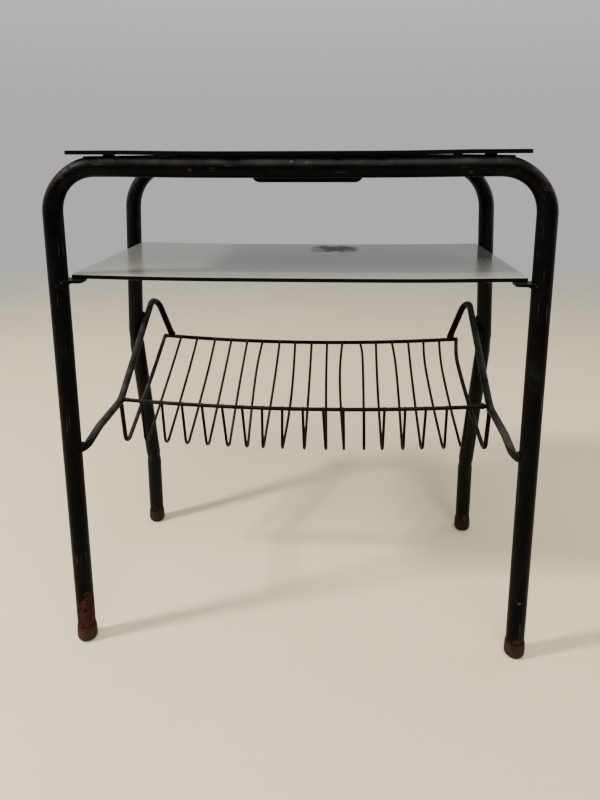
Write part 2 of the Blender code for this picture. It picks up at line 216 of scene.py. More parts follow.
@dataclass(frozen=True)
class BlackEnamel:
    """Old black enamel, brushed over steel: satin, with pale scratches, brown chips and dust on top.

    The gloss is broken by hand marks, so the highlights are soft and uneven.
    """

    name: str
    follows_bar: bool = True
    deep: str = "#020203"
    faded: str = "#080808"
    scuff: str = "#272421"
    scratch: str = "#6f6b64"
    rust_dark: str = "#0e0907"
    rust_brown: str = "#281815"
    rust_red: str = "#48201c"
    dust: str = "#8b867c"
    dust_cover: float = 0.16
    roughness: float = 0.36
    # Share of light that the coat throws back head-on, as the shader's specular level
    specular: float = 0.04
    spots: tuple[RustSpot, ...] = ()
    # Height up to which the left and the right leg are rusty, and half the height of the ragged limit
    rusty_left: float = 0.0
    rusty_right: float = 0.0
    rust_limit: float = 0.012
    # Sizes of the faded blotches, of the chips and of the ripple that the brush left
    blotch_size: float = 0.05
    chip_size: float = 0.010
    ripple: float = 0.0022
    # Length and width of a scratch, which is drawn about three times as wide as a real one so that it shows
    scratch_length: float = 0.045
    scratch_width: float = 0.0012
    nick_spacing: float = 0.022
    nick_edge: float = 0.004
    # Rubbed patches, drifts of dust, patches with scratches, and the stains and pits of the rust
    scuffs: Patches = Patches(0.024, 0.58, 0.78, most=0.5, detail=6.0, roughness=0.7, distortion=0.6)
    drifts: Patches = Patches(0.018, 0.3, 0.7, detail=6.0, roughness=0.65)
    scratched: Patches = Patches(0.03, 0.48, 0.66)
    stains: Patches = Patches(0.016, 0.44, 0.58, detail=5.0, roughness=0.6)
    pits: Patches = Patches(0.0045, 0.46, 0.37, detail=5.0, roughness=0.7)
    # The scratches in coordinates that are stretched to their length and width
    lines: Patches = Patches(1.0, 0.66, 0.76, most=0.5, detail=1.0)

    def material(self) -> Material:
        """Builds the material.

        Returns:
            The material.
        """
        material, tree, shader = new_material(self.name)
        place = add_node(tree, "TexCoord").outputs["Object"]
        bar = place
        if self.follows_bar:
            bar = add_node(tree, "Attribute", attribute_name=BAR).outputs["Vector"]
        cloudy = {"Scale": 1 / self.blotch_size, "Detail": 4.0, "Roughness": 0.6}
        blotch = add_node(tree, "TexNoise", {"Vector": place, **cloudy})
        colour = self._coat(tree, place, blotch)
        scratches = self._scratches(tree, bar)
        nicks = self._nicks(tree, place)
        marks = add_node(tree, "Math", {0: scratches, 1: nicks}, operation="MAXIMUM", use_clamp=True)
        cover = self._dust(tree, place)
        chips = self._chips(tree, place)
        rust = self._rust(tree, place)
        for share, over in ((marks, linear(self.scratch)), (cover, linear(self.dust)), (chips, rust)):
            colour = add_node(tree, "Mix", {SHARE: share, UNDER: colour, OVER: over}, data_type="RGBA")
        span = {"To Min": self.roughness - 0.07, "To Max": self.roughness + 0.09}
        gloss = add_node(tree, "MapRange", {"Value": blotch, "From Min": 0.3, "From Max": 0.7, **span})
        dulled = add_node(tree, "Math", {0: cover, 1: 0.5, 2: gloss}, operation="MULTIPLY_ADD")
        rough = add_node(
            tree, "Math", {0: chips, 1: 0.45, 2: dulled}, operation="MULTIPLY_ADD", use_clamp=True
        )
        relief = self._relief(tree, bar, chips, marks)
        feed(tree, shader, {"Base Color": colour, "Roughness": rough, "Normal": relief})
        feed(tree, shader, {"Specular IOR Level": self.specular})
        return material

    def _coat(self, tree: Tree, place: Socket, blotch: Node) -> Node:
        """Gives the colour of the coat, faded in blotches and rubbed grey in patches.

        Args:
            tree: The material's nodes.
            place: Object coordinates.
            blotch: The noise that it is faded by.

        Returns:
            The colour.
        """
        fade = add_node(tree, "MapRange", {"Value": blotch, "From Min": 0.36, "From Max": 0.68})
        paint = add_node(
            tree, "Mix", {SHARE: fade, UNDER: linear(self.deep), OVER: linear(self.faded)}, data_type="RGBA"
        )
        scuffs = self.scuffs.mask(tree, place)
        return add_node(
            tree, "Mix", {SHARE: scuffs, UNDER: paint, OVER: linear(self.scuff)}, data_type="RGBA"
        )

    def _scratches(self, tree: Tree, bar: Socket) -> Node:
        """Gives thin lines that run along the bar, thinned out in patches.

        Args:
            tree: The material's nodes.
            bar: Coordinates along and across the bar.

        Returns:
            How far each place is scratched.
        """
        stretch = (1 / self.scratch_length, 1 / self.scratch_width, 1 / self.scratch_width)
        along = add_node(tree, "Mapping", {"Vector": bar, "Scale": stretch})
        lines = self.lines.mask(tree, along)
        kept = self.scratched.mask(tree, bar)
        return add_node(tree, "Math", {0: lines, 1: kept}, operation="MULTIPLY")

    def _nicks(self, tree: Tree, place: Socket) -> Node:
        """Gives scattered knocks through the coat, ragged and of uneven size.

        Args:
            tree: The material's nodes.
            place: Object coordinates.

        Returns:
            How far each place is knocked.
        """
        ragged = add_node(
            tree, "TexNoise", {"Vector": place, "Scale": 1 / self.nick_edge, "Detail": 3.0, "Roughness": 0.6}
        )
        cells = add_node(
            tree, "TexVoronoi", {"Vector": place, "Scale": 1 / self.nick_spacing, "Randomness": 1.0}
        )
        away = cells.outputs["Distance"]
        wide = add_node(tree, "Math", {0: ragged, 1: 0.3, 2: away}, operation="MULTIPLY_ADD")
        spot = add_node(tree, "MapRange", {"Value": wide, "From Min": 0.235, "From Max": 0.205})
        chance = add_node(tree, "SeparateXYZ", {"Vector": cells.outputs["Color"]}).outputs["X"]
        strength = add_node(
            tree, "MapRange", {"Value": chance, "From Min": 0.3, "From Max": 1.0, "To Max": 0.36}
        )
        return add_node(tree, "Math", {0: spot, 1: strength}, operation="MULTIPLY")

    def _dust(self, tree: Tree, place: Socket) -> Node:
        """Lays dust on what faces up.

        Args:
            tree: The material's nodes.
            place: Object coordinates.

        Returns:
            The dust's cover.
        """
        normal = add_node(tree, "NewGeometry").outputs["Normal"]
        up = add_node(tree, "SeparateXYZ", {"Vector": normal}).outputs["Z"]
        facing = add_node(
            tree, "MapRange", {"Value": up, "From Min": 0.1, "From Max": 0.95, "To Max": self.dust_cover}
        )
        drifts = self.drifts.mask(tree, place)
        return add_node(tree, "Math", {0: facing, 1: drifts}, operation="MULTIPLY")

    def _chips(self, tree: Tree, place: Socket) -> Node:
        """Breaks the coat low on the legs and round the rust spots.

        Args:
            tree: The material's nodes.
            place: Object coordinates.

        Returns:
            Where the rust shows.
        """
        axes = add_node(tree, "SeparateXYZ", {"Vector": place})
        across = {"Value": axes.outputs["X"], "From Min": -0.01, "From Max": 0.01}
        limit = add_node(tree, "MapRange", {**across, "To Min": self.rusty_left, "To Max": self.rusty_right})
        below = add_node(tree, "Math", {0: limit, 1: axes.outputs["Z"]}, operation="SUBTRACT")
        zone = add_node(
            tree, "MapRange", {"Value": below, "From Min": -self.rust_limit, "From Max": self.rust_limit}
        )
        for spot in self.spots:
            away = add_node(tree, "VectorMath", {0: place, 1: spot.centre}, operation="DISTANCE")
            reach = {"From Min": spot.radius, "From Max": 0.0, "To Max": spot.bite}
            near = add_node(tree, "MapRange", {"Value": away, **reach})
            zone = add_node(tree, "Math", {0: zone, 1: near}, operation="MAXIMUM")
        ragged = {"Scale": 1 / self.chip_size, "Detail": 6.0, "Roughness": 0.68}
        flake = add_node(tree, "TexNoise", {"Vector": place, **ragged})
        pushed = add_node(tree, "Math", {0: zone, 1: 0.42, 2: flake}, operation="MULTIPLY_ADD")
        return add_node(tree, "MapRange", {"Value": pushed, "From Min": 0.74, "From Max": 0.8})

    def _rust(self, tree: Tree, place: Socket) -> Node:
        """Gives the rust's colour, which is fresh and red near the wet floor, old and brown higher up.

        Args:
            tree: The material's nodes.
            place: Object coordinates.

        Returns:
            The colour, with dark pits.
        """
        stains = self.stains.mask(tree, place)
        height = add_node(tree, "SeparateXYZ", {"Vector": place}).outputs["Z"]
        fresh = add_node(
            tree, "MapRange", {"Value": height, "From Min": 0.2, "From Max": 0.08, "To Min": 0.1}
        )
        redness = add_node(tree, "Math", {0: stains, 1: fresh}, operation="MULTIPLY")
        tints = {UNDER: linear(self.rust_brown), OVER: linear(self.rust_red)}
        rust = add_node(tree, "Mix", {SHARE: redness, **tints}, data_type="RGBA")
        pitted = {SHARE: self.pits.mask(tree, place), UNDER: rust, OVER: linear(self.rust_dark)}
        return add_node(tree, "Mix", pitted, data_type="RGBA")

    def _relief(self, tree: Tree, bar: Socket, chips: Node, marks: Node) -> Node:
        """Gives the normal of a brushed coat with its chips and marks sunk in.

        Args:
            tree: The material's nodes.
            bar: Coordinates along and across the bar.
            chips: Where the rust shows.
            marks: Where the coat is scratched or knocked.

        Returns:
            The normal.
        """
        peel = add_node(
            tree, "TexNoise", {"Vector": bar, "Scale": 1 / self.ripple, "Detail": 2.0, "Roughness": 0.5}
        )
        coat = add_node(tree, "Bump", {"Height": peel, "Strength": 0.12, "Distance": 0.0004})
        sunk = add_node(tree, "Math", {0: chips, 1: marks}, operation="ADD", use_clamp=True)
        depth = {"Strength": 0.5, "Distance": 0.0003}
        return add_node(tree, "Bump", {"Height": sunk, "Normal": coat, **depth}, invert=True)


@dataclass(frozen=True)
class RustySteel:
    """Pressed steel that has lost its paint: brown and red rust in scales, with dark remains of the coat."""

    name: str
    coat: str = "#0d0906"
    brown: str = "#281b13"
    red: str = "#3c1f16"
    red_share: float = 0.45
    specular: float = 0.15
    # Sizes of the scales and of the red patches
    scale_size: float = 0.007
    patch_size: float = 0.014

    def material(self) -> Material:
        """Builds the material.

        Returns:
            The material.
        """
        material, tree, shader = new_material(self.name)
        place = add_node(tree, "TexCoord").outputs["Object"]
        scaly = {"Scale": 1 / self.scale_size, "Detail": 8.0, "Roughness": 0.7}
        scales = add_node(tree, "TexNoise", {"Vector": place, **scaly})
        rusty = add_node(tree, "MapRange", {"Value": scales, "From Min": 0.36, "From Max": 0.6})
        more = self.red_share / 2
        red_patches = Patches(self.patch_size, 0.68 - more, 0.9 - more, detail=4.0, roughness=0.6)
        reddish = red_patches.mask(tree, place)
        tints = {UNDER: linear(self.brown), OVER: linear(self.red)}
        rust = add_node(tree, "Mix", {SHARE: reddish, **tints}, data_type="RGBA")
        whole = add_node(tree, "Mix", {SHARE: rusty, UNDER: linear(self.coat), OVER: rust}, data_type="RGBA")
        limits = {"From Min": 0.35, "From Max": 0.65, "To Min": 0.5, "To Max": 0.88}
        rough = add_node(tree, "MapRange", {"Value": scales, **limits})
        relief = add_node(tree, "Bump", {"Height": scales, "Strength": 0.7, "Distance": 0.0008})
        feed(tree, shader, {"Base Color": whole, "Roughness": rough, "Normal": relief})
        feed(tree, shader, {"Specular IOR Level": self.specular})
        return material


@dataclass(frozen=True)
class Oval:
    """A mark on a pane: its middle, and half its size in X and in Y."""

    x: float
    y: float
    reach_x: float
    reach_y: float


@dataclass(frozen=True)
class BlackGlass:
    """Float glass coloured black through, polished, with a film of dust that is wiped here and there."""

    name: str
    body: str = "#050506"
    dust: str = "#aaa79c"
    grease: str = "#26251f"
    dust_least: float = 0.05
    dust_most: float = 0.3
    # Places where the dust is wiped away, and where it is matted with grease
    wiped: tuple[Oval, ...] = ()
    greasy: tuple[Oval, ...] = ()
    # Width of the ragged edge of such a place, as a share of its size
    soft_edge: float = 0.3
    ior: float = 1.52
    specular: float = 0.28
    roughness: float = 0.03
    greasy_roughness: float = 0.5
    # How far the dust blurs what the glass mirrors
    blur: float = 0.3
    # How much more dust cover lies towards the front right corner than at the rear: painted light, paler
    # where more light falls on the front of the shelf
    front_painted_light: float = 0.0
    # Line in Y up to which the front edge carries more dust cover, and a thin line of less dust just behind
    # it
    front_strip: float | None = None
    dark_line_behind: float = 0.003
    dark_line_half: float = 0.0022
    # Fine dust that only shows along the surface, as the shader's sheen
    haze: float = 0.12
    haze_roughness: float = 0.45
    # Sizes of the drifts, the specks and the smears, and length, width and turn of a wiping streak
    drift_size: float = 0.12
    speck_size: float = 0.0025
    smear_size: float = 0.014
    streak_length: float = 0.11
    streak_width: float = 0.028
    streak_turn: float = 0.5

    def material(self) -> Material:
        """Builds the material.

        Returns:
            The material.
        """
        material, tree, shader = new_material(self.name)
        place = add_node(tree, "TexCoord").outputs["Object"]
        specks = add_node(tree, "TexNoise", {"Vector": place, "Scale": 1 / self.speck_size, "Detail": 2.0})
        cover = self._film(tree, place, specks)
        if self.front_strip is not None:
            cover = self._front_dust(tree, place, cover, self.front_strip)
        for oval in self.wiped:
            outside = self._outside(tree, place, oval, specks)
            cover = add_node(tree, "Math", {0: cover, 1: outside}, operation="MULTIPLY")
        tint: Node | tuple[float, ...] = linear(self.dust)
        matt: Node | float = self.roughness
        for oval in self.greasy:
            cloudy = {"Scale": 1 / self.smear_size, "Detail": 4.0}
            smear = add_node(tree, "TexNoise", {"Vector": place, **cloudy})
            outside = self._outside(tree, place, oval, smear)
            tint = add_node(
                tree, "Mix", {SHARE: outside, UNDER: linear(self.grease), OVER: tint}, data_type="RGBA"
            )
            span = {"To Min": matt, "To Max": self.greasy_roughness}
            matt = add_node(tree, "MapRange", {"Value": outside, "From Min": 1.0, "From Max": 0.0, **span})
        normal = add_node(tree, "NewGeometry").outputs["Normal"]
        up = add_node(tree, "SeparateXYZ", {"Vector": normal}).outputs["Z"]
        upper = add_node(tree, "MapRange", {"Value": up, "From Min": 0.2, "From Max": 0.9})
        lying = add_node(tree, "Math", {0: cover, 1: upper}, operation="MULTIPLY")
        colour = add_node(
            tree, "Mix", {SHARE: lying, UNDER: linear(self.body), OVER: tint}, data_type="RGBA"
        )
        rough = add_node(tree, "Math", {0: lying, 1: self.blur, 2: matt}, operation="MULTIPLY_ADD")
        feed(tree, shader, {"Base Color": colour, "Roughness": rough})
        feed(tree, shader, {"IOR": self.ior, "Specular IOR Level": self.specular})
        feed(tree, shader, {"Sheen Weight": self.haze, "Sheen Roughness": self.haze_roughness})
        feed(tree, shader, {"Sheen Tint": linear(self.dust)})
        return material

    def _film(self, tree: Tree, place: Socket, specks: Node) -> Node:
        """Gives the film of dust: drifts, streaks of a wiping hand and specks.

        Args:
            tree: The material's nodes.
            place: Object coordinates.
            specks: A fine noise.

        Returns:
            The dust's cover.
        """
        cloudy = {"Scale": 1 / self.drift_size, "Detail": 5.0, "Roughness": 0.55}
        drift = add_node(tree, "TexNoise", {"Vector": place, **cloudy})
        stretch = (1 / self.streak_length, 1 / self.streak_width, 1.0)
        streaks = add_node(
            tree, "Mapping", {"Vector": place, "Rotation": (0.0, 0.0, self.streak_turn), "Scale": stretch}
        )
        wipe = add_node(tree, "TexNoise", {"Vector": streaks, "Scale": 1.0, "Detail": 3.0})
        film = add_node(tree, "Math", {0: wipe, 1: 0.3, 2: drift}, operation="MULTIPLY_ADD")
        grainy = add_node(tree, "Math", {0: specks, 1: 0.2, 2: film}, operation="MULTIPLY_ADD")
        span = {"To Min": self.dust_least, "To Max": self.dust_most}
        return add_node(tree, "MapRange", {"Value": grainy, "From Min": 0.56, "From Max": 0.94, **span})

    def _front_dust(self, tree: Tree, place: Socket, cover: Node, line: float) -> Node:
        """Adds more dust cover along the front edge with a thin line of less dust behind it, and more
        towards the front right corner, which paints in the light that falls on the front of the shelf.

        Args:
            tree: The material's nodes.
            place: Object coordinates.
            cover: The dust's cover without it.
            line: Place in Y up to which it lies.

        Returns:
            The whole cover, dust and painted light together.
        """
        depth = add_node(tree, "SeparateXYZ", {"Vector": place}).outputs["Y"]
        edge = {"From Min": line + 0.001, "From Max": line - 0.002, "To Max": self.dust_most * 0.25}
        strip = add_node(tree, "MapRange", {"Value": depth, **edge})
        # More dust towards the front right corner: painted light, since more light falls on the front of the
        # shelf than on its rear under the top pane
        towards = add_node(tree, "VectorMath", {0: place, 1: (0.4, -1.0, 0.0)}, operation="DOT_PRODUCT")
        rise = {"From Min": -0.12, "From Max": 0.2, "To Max": self.front_painted_light}
        slope = add_node(tree, "MapRange", {"Value": towards, **rise})
        for more in (strip, slope):
            cover = add_node(tree, "Math", {0: cover, 1: more}, operation="ADD")
        dark_line = add_node(
            tree, "Math", {0: depth, 1: line + self.dark_line_behind, 2: self.dark_line_half}, operation="COMPARE"
        )
        return add_node(
            tree, "Math", {0: dark_line, 1: -self.dust_least * 0.7, 2: cover}, operation="MULTIPLY_ADD"
        )

    def _outside(self, tree: Tree, place: Socket, oval: Oval, ragged: Node) -> Node:
        """Marks an oval with a ragged edge.

        Args:
            tree: The material's nodes.
            place: Object coordinates.
            oval: The oval.
            ragged: A noise for its edge.

        Returns:
            0 inside the oval, 1 outside.
        """
        shifted = add_node(tree, "VectorMath", {0: place, 1: (oval.x, oval.y, 0.0)}, operation="SUBTRACT")
        shrink = (1 / oval.reach_x, 1 / oval.reach_y, 0.0)
        scaled = add_node(tree, "VectorMath", {0: shifted, 1: shrink}, operation="MULTIPLY")
        out = add_node(tree, "VectorMath", {0: scaled}, operation="LENGTH")
        edge = add_node(tree, "Math", {0: ragged, 1: 0.9, 2: out}, operation="MULTIPLY_ADD")
        return add_node(
            tree, "MapRange", {"Value": edge, "From Min": 0.75, "From Max": 0.75 + self.soft_edge}
        )


@dataclass(frozen=True)
class GroundEdge:
    """The edge of black glass, ground on a belt: as black as the body, satin, with fine lines along it."""

    name: str
    body: str = "#020203"
    dust: str = "#1b1a18"
    roughness: float = 0.45
    specular: float = 0.06
    # Length of the belt's lines, and their spacing, drawn coarser than the real 0.1 mm so that they show
    line_length: float = 0.03
    line: float = 0.0006

    def material(self) -> Material:
        """Builds the material.

        Returns:
            The material.
        """
        material, tree, shader = new_material(self.name)
        place = add_node(tree, "TexCoord").outputs["Object"]
        stretch = (1 / self.line_length, 1 / self.line_length, 1 / self.line)
        belt = add_node(tree, "Mapping", {"Vector": place, "Scale": stretch})
        lines = add_node(tree, "TexNoise", {"Vector": belt, "Scale": 1.0, "Detail": 3.0})
        cover = add_node(tree, "MapRange", {"Value": lines, "From Min": 0.5, "From Max": 0.8, "To Max": 0.4})
        colour = add_node(
            tree, "Mix", {SHARE: cover, UNDER: linear(self.body), OVER: linear(self.dust)}, data_type="RGBA"
        )
        relief = add_node(tree, "Bump", {"Height": lines, "Strength": 0.2, "Distance": 0.0001})
        feed(tree, shader, {"Base Color": colour, "Normal": relief})
        feed(tree, shader, {"Roughness": self.roughness, "Specular IOR Level": self.specular})
        return material


@dataclass(frozen=True)
class BlackRubber:
    """Moulded rubber: matt, a little grey where it has aged."""

    name: str
    fresh: str = "#0b0b0b"
    aged: str = "#191817"
    roughness: float = 0.85
    specular: float = 0.2
    bloom_size: float = 0.004

    def material(self) -> Material:
        """Builds the material.

        Returns:
            The material.
        """
        material, tree, shader = new_material(self.name)
        place = add_node(tree, "TexCoord").outputs["Object"]
        bloom = add_node(tree, "TexNoise", {"Vector": place, "Scale": 1 / self.bloom_size, "Detail": 4.0})
        colour = add_node(
            tree, "Mix", {SHARE: bloom, UNDER: linear(self.fresh), OVER: linear(self.aged)}, data_type="RGBA"
        )
        relief = add_node(tree, "Bump", {"Height": bloom, "Strength": 0.3, "Distance": 0.0002})
        feed(tree, shader, {"Base Color": colour, "Normal": relief})
        feed(tree, shader, {"Roughness": self.roughness, "Specular IOR Level": self.specular})
        return material


def add_piece(
    name: str,
    bm: Mesh,
    material: Material,
    nodes: tuple[str, ...] = (),
    crease: float = 40.0,
) -> bpy.types.Object:
    """Turns a bmesh into a piece that rides on the table.

    Args:
        name: The piece's name.
        bm: Its mesh, in place, which is freed.
        material: Its finish.
        nodes: The solids that it stands for.
        crease: Angle in degrees from which two faces meet in a sharp line. A piece with flat faces takes a
            small one, because a flat face that is shaded into its rounded edge looks like a cushion.

    Returns:
        The new object.
    """
    bmesh.ops.recalc_face_normals(bm, faces=bm.faces)
    mesh = bpy.data.meshes.new(name)
    bm.to_mesh(mesh)
    bm.free()
    mesh.shade_smooth()
    mesh.set_sharp_from_angle(angle=math.radians(crease))
    mesh.materials.append(material)
    piece = bpy.data.objects.new(name, mesh)
    bpy.context.scene.collection.objects.link(piece)
    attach(piece, BODY)
    if nodes:
        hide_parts(*nodes)
    LOG.info("%s: %d faces", name, len(mesh.polygons))
    return piece


def plain_block(low: Vector, high: Vector) -> Mesh:
    """Makes a block between two corners, to be shaped further.

    Args:
        low: Its lowest corner.
        high: Its highest corner.

    Returns:
        The block.
    """
    mesh = bmesh.new()
    size = high - low
    place = Matrix.Translation((low + high) / 2) @ Matrix.Diagonal((*size, 1.0))
    bmesh.ops.create_cube(mesh, size=1.0, matrix=place)
    return mesh


def round_edges(mesh: Mesh, edges: list[Edge], offset: float, segments: int) -> None:
    """Rounds some edges of a mesh.

    Args:
        mesh: The mesh.
        edges: The edges.
        offset: How far the rounding reaches from each edge.
        segments: Its number of steps.
    """
    bmesh.ops.bevel(
        mesh, geom=edges, offset=offset, segments=segments, profile=0.5, affect="EDGES", material=-1
    )


def upright_edges(mesh: Mesh) -> list[Edge]:
    """Gives the edges that stand straight up."""
    return [e for e in mesh.edges if (e.verts[0].co - e.verts[1].co).xy.length < SAME]


def flat_edges(mesh: Mesh) -> list[Edge]:
    """Gives the edges round the top and the bottom."""
    level = [e for e in mesh.edges if abs(e.verts[0].co.z - e.verts[1].co.z) < SAME]
    return [e for e in level if e.calc_face_angle(0.0) > SHARP]


def hang(x: float, half: float) -> float:
    """Gives the share of a sag at a place, from 1 in the middle to 0 at both ends."""
    return (1 - min(1.0, abs(x) / half) ** 4) ** 2


@dataclass
class RoundBar:
    """A round bar that is bent as on a bending bench: straight runs and arcs, one after the other."""

    radius: float
    sides: int = 32
    arc_step: float = math.radians(5)
    run_step: float = 0.02
    # Rounding of both ends, and its number of steps
    end_edge: float = 0.0
    end_steps: int = 3
    # Share by which the section is squeezed flat in the middle of a bend, and what of it goes sideways
    flatten: float = 0.0
    spread: float = 0.5
    mesh: Mesh = field(default_factory=bmesh.new)
    along: float = 0.0

    def bend(self, corners: list[Vector], radii: list[float]) -> Mesh:
        """Bends the bar round the inner corners of a line.

        Args:
            corners: The line's corners, ends included.
            radii: The bend's radius at each inner corner.

        Returns:
            The closed mesh of the bar.
        """
        layer = self.mesh.verts.layers.float_vector.new(BAR)
        way = (corners[1] - corners[0]).normalized()
        place = Matrix.Translation(corners[0]) @ way.to_track_quat("Z", "Y").to_matrix().to_4x4()
        bmesh.ops.create_circle(
            self.mesh, cap_ends=True, radius=self.radius, segments=self.sides, matrix=place
        )
        back = place.inverted()
        for vert in self.mesh.verts:
            local = back @ vert.co
            vert[layer] = (0.0, local.x, local.y)
        ring = list(self.mesh.edges)
        start = corners[0]
        for corner, ahead, radius in zip(corners[1:-1], corners[2:], radii):
            into = (corner - start).normalized()
            out = (ahead - corner).normalized()
            turn = into.angle(out)
            reach = radius * math.tan(turn / 2)
            ring = self._run(ring, corner - into * reach - start)
            axis = into.cross(out).normalized()
            centre = corner - into * reach + axis.cross(into) * radius
            ring = self._arc(ring, centre, axis, turn, radius)
            start = corner + out * reach
        ring = self._run(ring, corners[-1] - start)
        bmesh.ops.edgeloop_fill(self.mesh, edges=ring)
        if self.end_edge:
            self._ease_ends()
        return self.mesh

    def _step(self, ring: list[Edge], move: Matrix, length: float) -> list[Edge]:
        """Draws the bar out by one ring.

        Args:
            ring: The edges of its open end.
            move: What takes them to their new place.
            length: How much longer the bar gets.

        Returns:
            The edges of the new end.
        """
        layer = self.mesh.verts.layers.float_vector[BAR]
        made = bmesh.ops.extrude_edge_only(self.mesh, edges=ring)["geom"]
        verts = [item for item in made if isinstance(item, Vert)]
        bmesh.ops.transform(self.mesh, matrix=move, verts=verts)
        self.along += length
        for vert in verts:
            vert[layer] = (self.along, vert[layer].y, vert[layer].z)
        fresh = set(verts)
        return [item for item in made if isinstance(item, Edge) and fresh.issuperset(item.verts)]

    def _run(self, ring: list[Edge], path: Vector) -> list[Edge]:
        """Draws the bar straight on.

        Args:
            ring: The edges of its open end.
            path: How far and which way.

        Returns:
            The edges of the new end.
        """
        count = max(1, math.ceil(path.length / self.run_step))
        for _ in range(count):
            ring = self._step(ring, Matrix.Translation(path / count), path.length / count)
        return ring

    def _arc(self, ring: list[Edge], centre: Vector, axis: Vector, turn: float, radius: float) -> list[Edge]:
        """Draws the bar round an arc.

        Args:
            ring: The edges of its open end.
            centre: The arc's centre.
            axis: The axis that it turns about.
            turn: Its angle.
            radius: Its radius.

        Returns:
            The edges of the new end.
        """
        count = max(2, math.ceil(turn / self.arc_step))
        there = Matrix.Translation(centre)
        move = there @ Matrix.Rotation(turn / count, 4, axis) @ there.inverted()
        rings = []
        for _ in range(count):
            ring = self._step(ring, move, turn / count * radius)
            rings.append({vert for edge in ring for vert in edge.verts})
        if self.flatten:
            for number, verts in enumerate(rings, start=1):
                share = self.flatten * math.sin(math.pi * number / count) ** 2
                self._squeeze(verts, centre, axis, share)
        return ring

    def _squeeze(self, verts: set[Vert], centre: Vector, axis: Vector, share: float) -> None:
        """Squeezes one ring towards the bend and lets it spread sideways.

        Args:
            verts: The ring.
            centre: The bend's centre.
            axis: The axis that it turns about.
            share: How much of the ring's height goes.
        """
        middle = sum((vert.co for vert in verts), Vector()) / len(verts)
        radial = (middle - centre).normalized()
        for vert in verts:
            offset = vert.co - middle
            vert.co -= radial * offset.dot(radial) * share
            vert.co += axis * offset.dot(axis) * share * self.spread

    def _ease_ends(self) -> None:
        """Takes the sharp edge off both ends."""
        caps = [face for face in self.mesh.faces if len(face.verts) == self.sides]
        edges = [edge for face in caps for edge in face.edges]
        round_edges(self.mesh, edges, self.end_edge, self.end_steps)


@dataclass(frozen=True)
class Layout:
    """The places that the sub-assemblies share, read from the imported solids."""

    tube_r: float
    front_y: float
    rear_y: float
    front_half: float
    leg_foot: float
    frame_top: float
    clear: float = 0.0003

    @classmethod
    def read(cls) -> "Layout":
        """Reads the layout from the two frames.

        Returns:
            The layout.
        """
        low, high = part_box("front_frame")
        rear_low, rear_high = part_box("rear_frame")
        tube_r = (high.y - low.y) / 2
        return cls(
            tube_r=tube_r,
            front_y=(low.y + high.y) / 2,
            rear_y=(rear_low.y + rear_high.y) / 2,
            front_half=high.x - tube_r,
            leg_foot=low.z,
            frame_top=high.z,
        )

    @property
    def top_axis(self) -> float:
        """Height of the axis of the top runs."""
        return self.frame_top - self.tube_r


